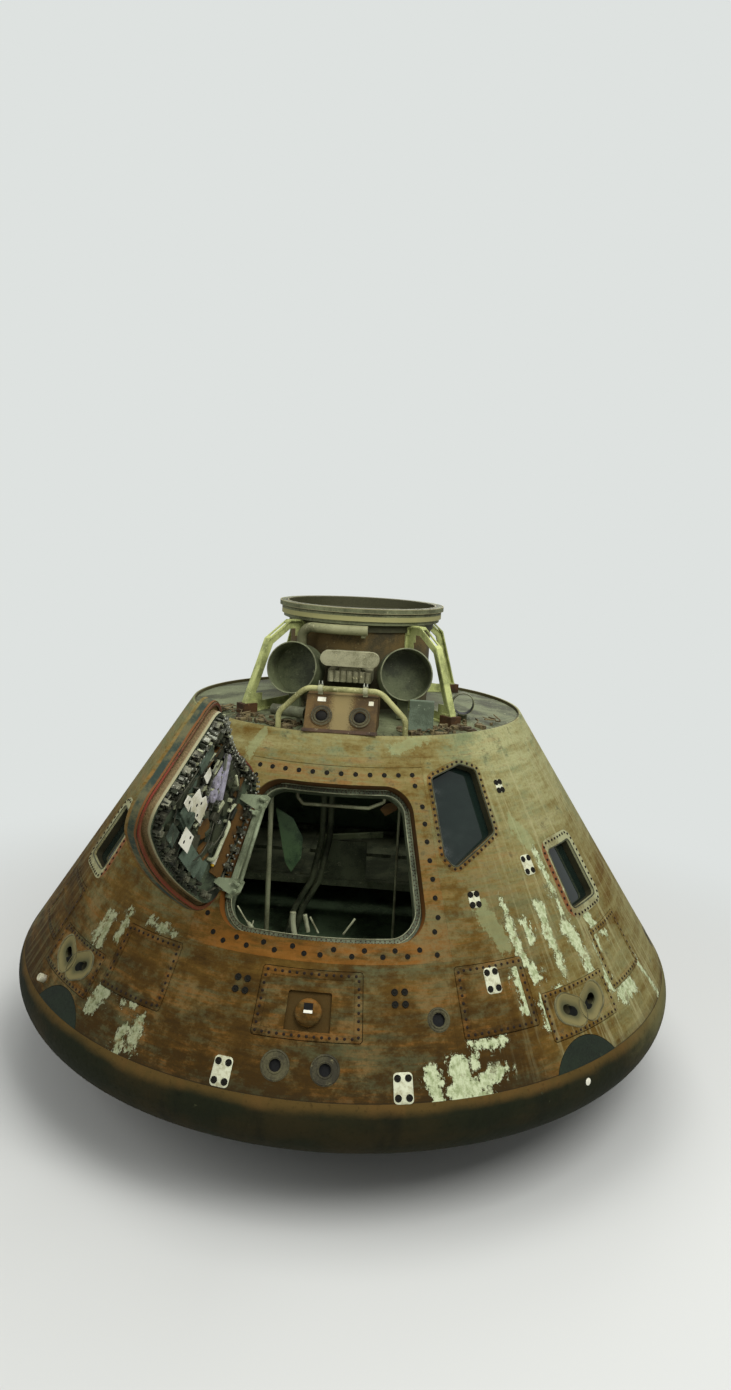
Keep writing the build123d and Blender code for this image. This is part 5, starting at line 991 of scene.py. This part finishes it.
# Inwards and up from the foot: the arm's outline, and its pins, the first of them the bar's
ARM_OUTLINE = (
    (0.0, -0.012), (0.100, -0.046), (0.128, -0.048), (0.156, -0.030), (0.160, 0.022), (0.142, 0.030), (0.0, 0.014),
)
ARM_PINS = ((0.142, 0.000), (0.120, 0.006), (0.136, -0.030))
PIN_PROFILE = ((0.009, 0.0), (0.009, 0.036), (0.006, 0.038), (0.006, 0.046), (0.002, 0.047))
ARM_THICK = 0.012
PIN_BACK = 0.018
BAR_RADIUS = 0.0095
arms, tips = [], []
for height, azimuth in ARMS:
    foot, across, up, inwards = plate_seat(azimuth, height)
    through = ARM_THICK * across
    arms.append(prism(foot + through / 2, inwards, up, ARM_OUTLINE, -through))
    tips.append(foot + ARM_PINS[0][0] * inwards)
    for reach, rise in ARM_PINS:
        pin = foot + reach * inwards + rise * up - PIN_BACK * across
        arms.append(turned_pieces(pin, across, PIN_PROFILE, 14))
hung("hatch_hinge_arms", BRACKET, *arms)
slack = (tips[0] - tips[1]) * 0.03
bar = tube((tips[0] - slack, (tips[0] + tips[1]) / 2, tips[1] + slack), BAR_RADIUS, sides=12)
hung("hatch_hinge_bar", BRACKET, bar, smooth=True)
# azimuth, height and lift of the wires' points
WIRES = (
    ((-8.0, 0.44, 0.020), (-9.4, 0.36, 0.034), (-9.0, 0.26, 0.030), (-7.0, 0.20, 0.020)),
    ((2.5, 0.12, 0.018), (6.0, 0.10, 0.030), (9.5, 0.13, 0.030), (11.5, 0.20, 0.016)),
    ((-2.0, 0.10, 0.018), (-5.0, 0.16, 0.034), (-6.0, 0.24, 0.030), (-5.2, 0.33, 0.016)),
    ((12.0, 0.26, 0.016), (10.5, 0.36, 0.030), (9.0, 0.47, 0.030), (6.0, 0.55, 0.016)),
    ((0.5, 0.52, 0.012), (-4.0, 0.54, 0.026), (-8.6, 0.50, 0.026), (-11.0, 0.40, 0.012)),
    ((13.2, 0.12, 0.012), (13.6, 0.24, 0.030), (13.2, 0.36, 0.030), (12.4, 0.50, 0.012)),
)
WIRE_RADIUS = 0.0032
wires = [tube([plate_seat(*point)[0] for point in wire], WIRE_RADIUS, sides=8) for wire in WIRES]
hung("hatch_wires", DULL, *wires, smooth=True)
foot, _, up, _ = plate_seat(-11.6, 0.206, 0.012)
place = opened(foot)
rise = opened(foot + up) - place
STEM_PROFILE = ((0.011, -0.024), (0.011, 0.018), (0.007, 0.020), (0.007, 0.030), (0.002, 0.031))
carried("hatch_bright_fitting", SLOT_WHITE, turned_pieces(place, rise, STEM_PROFILE, 16), body="hatch")
TIP_PROFILE = ((0.0085, -0.002), (0.0085, 0.009), (0.002, 0.012))
tip = turned_pieces(place + STEM_PROFILE[0][1] * rise, -rise, TIP_PROFILE, 14)
yellow = worn("tip_yellow", (206, 168, 38), (150, 116, 30), (222, 196, 90), roughness=0.5, scale=6.0)
carried("hatch_yellow_tip", yellow, tip, body="hatch")

# Forward deck: a painted aluminium deck inside the lip, grimed, with dark ticks round its edge.
# Its paint is yellowed, and darkest round the tunnel's foot.
deck = worn("deck_paint", (106, 112, 80), (60, 62, 40), (146, 150, 116), roughness=0.7, scale=1.8)
pace = deck.azimuth * 0.35 + 100.0
ticks = abs(pace.maths("FRACT", pace) - 0.5).step(0.36, 0.44)
near_edge = (deck.radius + (deck.fine - 0.5) * 0.05).step(0.86, 0.93)
deck.coat(near_edge * ticks * 0.8, (38, 34, 22))
deck.coat(deck.radius.step(0.60, 0.44) * 0.6, (62, 58, 38)).on("forward_deck")

# Docking ring, tunnel and gussets: machined rings and a scorched tube, braced by four yellow-green gussets.
# The ring keeps a cream stripe round its outside, and its edges are worn bright.
ring = worn("docking_ring", (116, 120, 88), (76, 78, 54), (146, 146, 112), roughness=0.55, metallic=0.3, scale=1.6)
radius, z = ring.radius, ring.z
outside = radius.step(0.462, 0.466)
edge = abs(radius - 0.4945).step(0.0035, 0.0020).either(abs(radius - 0.4490).step(0.0035, 0.0020))
edge = (edge * z.step(2.6900, 2.6940)).either(abs(z - 2.6686).step(0.0022, 0.0012) * outside)
stripe = z.step(2.6205, 2.6215) * z.step(2.6500, 2.6490) * outside
ring.coat(radius.step(0.466, 0.462), ring.mix(ring.fine, (46, 48, 32), (84, 82, 56)))
ring.coat(stripe * (ring.fine * 0.5 + 0.65), (160, 156, 104))
ring.coat(edge * 0.8, (160, 152, 112)).on("docking_ring")
tunnel = worn("tunnel", (98, 80, 42), (60, 54, 32), (130, 118, 76), roughness=0.7, scale=2.2)
tunnel.coat(tunnel.radius.step(0.410, 0.405), (110, 108, 78))
tunnel.coat(tunnel.z.step(2.50, 2.38) * tunnel.radius.step(0.405, 0.410) * 0.7, (56, 56, 38)).on("tunnel_wall")
worn_pieces(
    ("gusset_primer", (176, 182, 116), (118, 124, 74), (206, 210, 152), 0.55, 3.0, "gussets"),
    ("rusty_foot", (76, 52, 26), (48, 34, 18), (112, 84, 48), 0.8, 3.0, "gusset_feet"),
    ("loop_primer", (158, 156, 104), (104, 102, 60), (188, 186, 140), 0.5, 2.0, "recovery_loop"),
)

# Parachute mortar tubes, ducts, canister and sling pack: olive cups and tubes with pale worn rims.
# They stand on the deck where the parachutes were packed, and the deck duct's mouth is black, painted shade down the
# duct with soot.
duct = worn("deck_duct", (104, 106, 76), (66, 66, 44), (134, 136, 102), scale=1.8)
DUCT_PLACE = (0.6397, -0.4463, 2.1841)
DUCT_TILT = float(np.radians(6.0))
rise, _ = swung(duct.z - DUCT_PLACE[2], duct.y - DUCT_PLACE[1], DUCT_TILT)
# Black disc over the duct's mouth: painted shade down the duct, with soot.
duct.coat(rise.hypot(duct.x - DUCT_PLACE[0]).step(0.0592, 0.0578), (16, 18, 13)).on("deck_duct")
worn_pieces(
    ("mortar_olive", (92, 98, 68), (58, 62, 42), (124, 128, 96), 0.6, 1.8, *both_sides("mortar_tube")),
    ("duct_olive", (132, 132, 96), (90, 90, 62), (158, 156, 120), 0.6, 1.6, "elbow_duct"),
    ("canister_grey", (106, 110, 84), (62, 62, 44), (146, 146, 116), 0.6, 2.4, "deck_canister"),
    ("pack_cloth", (156, 154, 122), (104, 102, 74), (186, 182, 140), 0.8, 2.4, "sling_pack"),
    ("box_primer", (112, 126, 104), (74, 84, 66), (138, 150, 124), 0.6, 2.0, "deck_box"),
)
MORTAR_X, MORTAR_Y, MORTAR_LEVEL = 0.318, -0.624, 2.361
MORTAR_TURN, MORTAR_TILT = 12.0, 12.0
MORTAR_PROFILE = (
    (0.1385, -0.002), (0.1385, 0.0012), (0.1395, 0.0022), (0.1445, 0.0022), (0.1456, 0.0012), (0.1456, -0.002),
)
rims = []
for _, side in SIDES:
    place = np.array((side * MORTAR_X, MORTAR_Y, MORTAR_LEVEL))
    rims.append(turned_pieces(place, aimed(side * MORTAR_TURN, MORTAR_TILT), MORTAR_PROFILE, 72, hollow=True))
rim_pale = worn("pale_rim", (112, 116, 86), (76, 78, 54), (158, 160, 128), roughness=0.55, scale=4.0)
carried("mortar_rims", rim_pale, *rims)


# Pitch engine box: a steel box under ablator at the lip, with two engine mouths in grey rings.
# Two white patches and a dark foot strip are fixed to its sloping front.
def box_seat(x, level):
    """Foot and directions of a place on the engine box's sloping front."""
    foot, across, up, outward = wall_seat(0.0, level)
    return foot + (x, BOX_SET_BACK, 0.0), across, up, outward


BOX_SET_BACK = 0.004
PITCH_PORTS = ((-0.1, 2.16609), (0.1, 2.16609))
MOUTH_PROFILE = ((0.0305, -0.04), (0.0305, -0.002), (0.0302, 0.0))
box = worn("engine_box", (88, 68, 32), (60, 45, 20), (120, 106, 64), roughness=0.75, scale=3.0)
box.coat((abs(box.x) + (box.fine - 0.5) * 0.08).step(0.075, 0.030) * 0.75, (128, 114, 72))
box.coat(box.z.step(2.2665, 2.2690), (148, 148, 114)).on("pitch_engine_box")
rings, mouths = [], []
for x, level in PITCH_PORTS:
    place, _, _, outward = box_seat(x, level)
    mouths.append(turned_pieces(place, outward, MOUTH_PROFILE, 40))
    for inner, outer, height in ((0.032, 0.043, 0.0085), (0.046, 0.0555, 0.0070)):
        rings.append(turned_pieces(place, outward, ridge(inner, outer, 0.003, height), 48, hollow=True))
carried("engine_mouth_rings", ring_grey, *rings)
# A black plug in each engine mouth: painted shade down the mouth, with soot.
carried("engine_mouth_shade_and_soot", SOOT_AND_HOLE_SHADE, *mouths)
white_patches = [soft_block(box_seat(*place), size) for place, size in (
    ((-0.108, 2.243), (0.044, 0.024, 0.0012)), ((0.152, 2.236), (0.026, 0.024, 0.0012)),
)]
carried("box_white_patches", SLOT_WHITE, *white_patches, smooth=False)
foot_strip = soft_block(box_seat(0.0, 2.0960), (0.392, 0.018, 0.004))
carried("box_foot_strip", screw_dark, foot_strip, smooth=False)

# Bolts of the clamps that hold the recovery loop: two bright steel ones on each clamp.
# Their threads stand out of their nuts.
X_AXIS, Y_AXIS, Z_AXIS = np.eye(3)
CLAMP_X, CLAMP_Y, CLAMP_LEVEL = 0.118, -0.8876, 2.3190
BOLT_SHIFT = 0.008
CLAMP_PROFILE = ((0.006, 0.0), (0.006, 0.006), (0.004, 0.008), (0.003, 0.020), (0.001, 0.021))
clamps = np.array([
    (side * CLAMP_X + end * BOLT_SHIFT, CLAMP_Y, CLAMP_LEVEL) for side in (-1, 1) for end in (-1, 1)
])
carried("clamp_bolts", BRIGHT, turned_pieces(clamps, Z_AXIS, CLAMP_PROFILE, 10))


# Cut wires, tubes and rubble that lie on the deck round its edge, left when the parachutes were taken off.
# They lie in no order, most of them to the left and right of the hatch.
def deck_place(azimuth, reach, lift=0.0):
    """Place on the deck, which rises from its edge towards the tunnel."""
    a = np.radians(azimuth)
    level = DECK_EDGE_LEVEL + (DECK_EDGE_RADIUS - reach) * DECK_RISE
    return np.array((reach * np.sin(a), -reach * np.cos(a), level + lift))


DECK_EDGE_RADIUS, DECK_EDGE_LEVEL = 0.984, 2.0681
DECK_RISE = 0.0858
rubble, wires = [], []
for _ in range(90):
    azimuth = scatter.choice((scatter.uniform(-42, -16), scatter.uniform(20, 62)))
    foot = deck_place(azimuth, scatter.uniform(0.80, 0.955))
    size = scatter.uniform((0.010, 0.012, 0.006), (0.040, 0.034, 0.024))
    rubble.append(soft_block((foot, X_AXIS, Y_AXIS, Z_AXIS), size, np.degrees(scatter.uniform(0, np.pi))))
for _ in range(26):
    azimuth = scatter.choice((scatter.uniform(-60, -20), scatter.uniform(24, 70)))
    line = []
    for step in range(4):
        turn = azimuth + step * scatter.uniform(1.0, 3.0)
        line.append(deck_place(turn, scatter.uniform(0.82, 0.95), scatter.uniform(0.004, 0.035)))
    wires.append(tube(line, scatter.uniform(0.002, 0.0045), sides=8))
litter = worn("deck_rubble", (110, 98, 66), (56, 46, 30), (176, 172, 132), roughness=0.8, scale=6.0)
carried("deck_rubble", litter, *rubble, smooth=False)
carried("deck_wires", litter, *wires)

# Cabin: grey-green painted floor, cabinet, couches and console, and rails, hoses and straps in the dark.
# A green panel, a locker's edge and a brown pad show through the doorway, upright across the cabin.
worn_pieces(
    ("cabin_grey", (112, 134, 98), (68, 82, 58), (140, 156, 120), 0.6, 1.5,
     "cabin_floor", "equipment_bay", "instrument_console"),
    ("couch_grey", (112, 118, 90), (66, 72, 52), (146, 150, 120), 0.55, 2.0, "couch_frame", "couch_struts"),
    ("rail_olive", (132, 136, 104), (84, 84, 60), (166, 166, 134), 0.5, 2.5, "cabin_rails"),
    ("hose_olive", (92, 98, 72), (54, 58, 42), (126, 130, 100), 0.7, 2.5, "cabin_hoses"),
)
cabin_green = worn("cabin_green", (84, 110, 72), (42, 60, 42), (110, 130, 92), roughness=0.35, scale=3.0)
locker_olive = worn("locker_olive", (134, 142, 104), (84, 92, 64), (160, 166, 128), scale=3.0)
# name, finish, y of the front, thickness, outline of (x, z)
SHEETS = (
    ("cabin_green_panel", cabin_green, -0.850, 0.006, (
        (-0.335, 1.626), (-0.274, 1.330), (-0.239, 1.277), (-0.188, 1.359), (-0.182, 1.472), (-0.240, 1.578),
    )),
    ("cabin_locker_edge", locker_olive, -0.420, 0.020, (
        (-0.128, 1.322), (0.226, 1.364), (0.226, 1.394), (-0.128, 1.350),
    )),
    ("cabin_pad", BROWN_PAD, -0.985, 0.040, (
        (0.232, 1.703), (0.262, 1.668), (0.322, 1.708), (0.317, 1.748), (0.262, 1.734),
    )),
)
for name, finish, front, thick, outline in SHEETS:
    carried(name, finish, prism(front * Y_AXIS, X_AXIS, Z_AXIS, outline, thick * Y_AXIS), smooth=False)
# Straps and rods that stand at the sill, as points and a radius
RODS = (
    (((-0.073, -1.250, 1.205), (-0.029, -1.250, 1.125)), 0.0055),
    (((0.096, -1.250, 1.128), (0.152, -1.250, 1.214)), 0.0055),
    (((-0.174, -1.150, 1.181), (-0.176, -1.150, 1.120), (-0.159, -1.150, 1.040)), 0.016),
    (((-0.120, -1.100, 1.150), (-0.100, -1.100, 1.060)), 0.012),
)
carried("cabin_sill_rods", PALE, *(tube(line, radius) for line, radius in RODS))
# The strut that holds the hatch open lies at this depth behind the wall, with a thin rod beside it
STAY_DEPTH = 0.155
STRUT_RADIUS, ROD_RADIUS = 0.0045, 0.0030
strut = wall_points(np.array((-18.6, -16.6, -14.4)), np.array((1.332, 1.296, 1.262)), -STAY_DEPTH)
rod = wall_points(np.array((-13.9, -14.2)), np.array((1.189, 1.288)), -STAY_DEPTH)
KNUCKLE_PROFILE = ((0.010, -0.026), (0.012, -0.010), (0.012, 0.008), (0.004, 0.012))
knuckle = turned_pieces(strut[-1], strut[-1] - strut[-2], KNUCKLE_PROFILE, 16)
carried("hatch_stay", PALE, tube(strut, STRUT_RADIUS), tube(rod, ROD_RADIUS), knuckle)

# Floor, lights and camera: a pale floor that runs up behind, and soft lamps above.
# The camera stands where the capsule is seen from in front, a little from the right and from above.
HALF_FLOOR = 30.0
BACKDROP = (222, 226, 224)
studio = Finish("studio_floor", roughness=0.9).wear(Base_Color=(205, 206, 202))
plain = studio.node("Emission", {}, {"Color": BACKDROP, "Strength": 1.0})
far_off = studio.radius.step(2.2, 5.2) * studio.node("LightPath", output="Is Camera Ray")
lit = Tone(studio, studio.shader.outputs[0])
blend = studio.node("MixShader", {}, {0: far_off, 1: lit, 2: plain})
studio.feed(studio.tree.nodes["Material Output"].inputs["Surface"], blend)
corners = [(side * HALF_FLOOR, end * HALF_FLOOR, 0.0) for side, end in ((-1, -1), (1, -1), (1, 1), (-1, 1))]
floor = shaped("studio_floor", studio, (corners, [(0, 1, 2, 3)]))


class Sky(Finish):
    """The world's nodes, mixed in the same way as a finish."""

    def __init__(self, name):
        self.world = bpy.data.worlds.new(name)
        self.world.use_nodes = True
        self.tree = self.world.node_tree


sky = Sky("studio_sky")
soft = sky.node("Background", {}, {"Color": (226, 228, 228), "Strength": 0.5})
plain = sky.node("Background", {}, {"Color": BACKDROP, "Strength": 1.0})
blend = sky.node("MixShader", {}, {0: sky.node("LightPath", output="Is Camera Ray"), 1: soft, 2: plain})
sky.feed(sky.tree.nodes["World Output"].inputs["Surface"], blend)
bpy.context.scene.world = sky.world

# Lamps: name, azimuth and elevation in degrees, distance, size and watts
LAMPS = (
    ("key_lamp", 35.0, 48.0, 8.0, 4.0, 420.0),
    ("fill_lamp", -50.0, 30.0, 9.0, 5.0, 160.0),
    ("top_lamp", 0.0, 80.0, 8.0, 5.0, 260.0),
    ("back_lamp", 170.0, 40.0, 9.0, 5.0, 220.0),
)
CAPSULE_MIDDLE = np.array((0.0, 0.0, 1.3))


def standing(place, right, above, back):
    """World matrix of a lamp or camera at a place, from the directions of its own axes."""
    axes = np.eye(4)
    axes[:3] = np.column_stack((right, above, back, place))
    return Matrix(axes.tolist())


for name, azimuth, elevation, distance, size, watts in LAMPS:
    back = aimed(azimuth, elevation)
    right = unit(np.cross(Z_AXIS, back))
    lamp = bpy.data.objects.new(name, bpy.data.lights.new(name, "AREA"))
    lamp.data.size = size
    lamp.data.energy = watts
    lamp.matrix_world = standing(CAPSULE_MIDDLE + distance * back, right, np.cross(back, right), back)
    bpy.context.collection.objects.link(lamp)

CAMERA_PLACE = (0.4952, -5.6597, 3.1137)
CAMERA_BEARING = 5.0
CAMERA_DIP = 20.4242
CAMERA_YAW = 0.35941
CAMERA_PITCH = 13.29258
CAMERA_ROLL = 2.76145
FOCAL_PIXELS = 931.913
PHOTO_HEIGHT = 1390
AXIS_ROW = 650.0
SENSOR_MM = 36.0

dip, yaw, pitch, roll, bearing = np.radians((CAMERA_DIP, CAMERA_YAW, CAMERA_PITCH, CAMERA_ROLL, CAMERA_BEARING))
ahead, above = swung(Y_AXIS, Z_AXIS, -dip)
ahead, right = swung(ahead, X_AXIS, yaw)
ahead, above = swung(ahead, above, pitch)
right, above = swung(right, above, roll)
turned = np.column_stack((*swung(X_AXIS, Y_AXIS, bearing), Z_AXIS))
camera = bpy.data.objects.new("camera", bpy.data.cameras.new("camera"))
camera.data.sensor_width = SENSOR_MM
camera.data.lens = SENSOR_MM * FOCAL_PIXELS / PHOTO_HEIGHT
camera.data.shift_y = (AXIS_ROW - PHOTO_HEIGHT / 2) / PHOTO_HEIGHT
camera.matrix_world = standing(CAMERA_PLACE, turned @ right, turned @ above, turned @ -ahead)
bpy.context.collection.objects.link(camera)
bpy.context.scene.camera = camera
bpy.context.scene.view_settings.view_transform = "Standard"
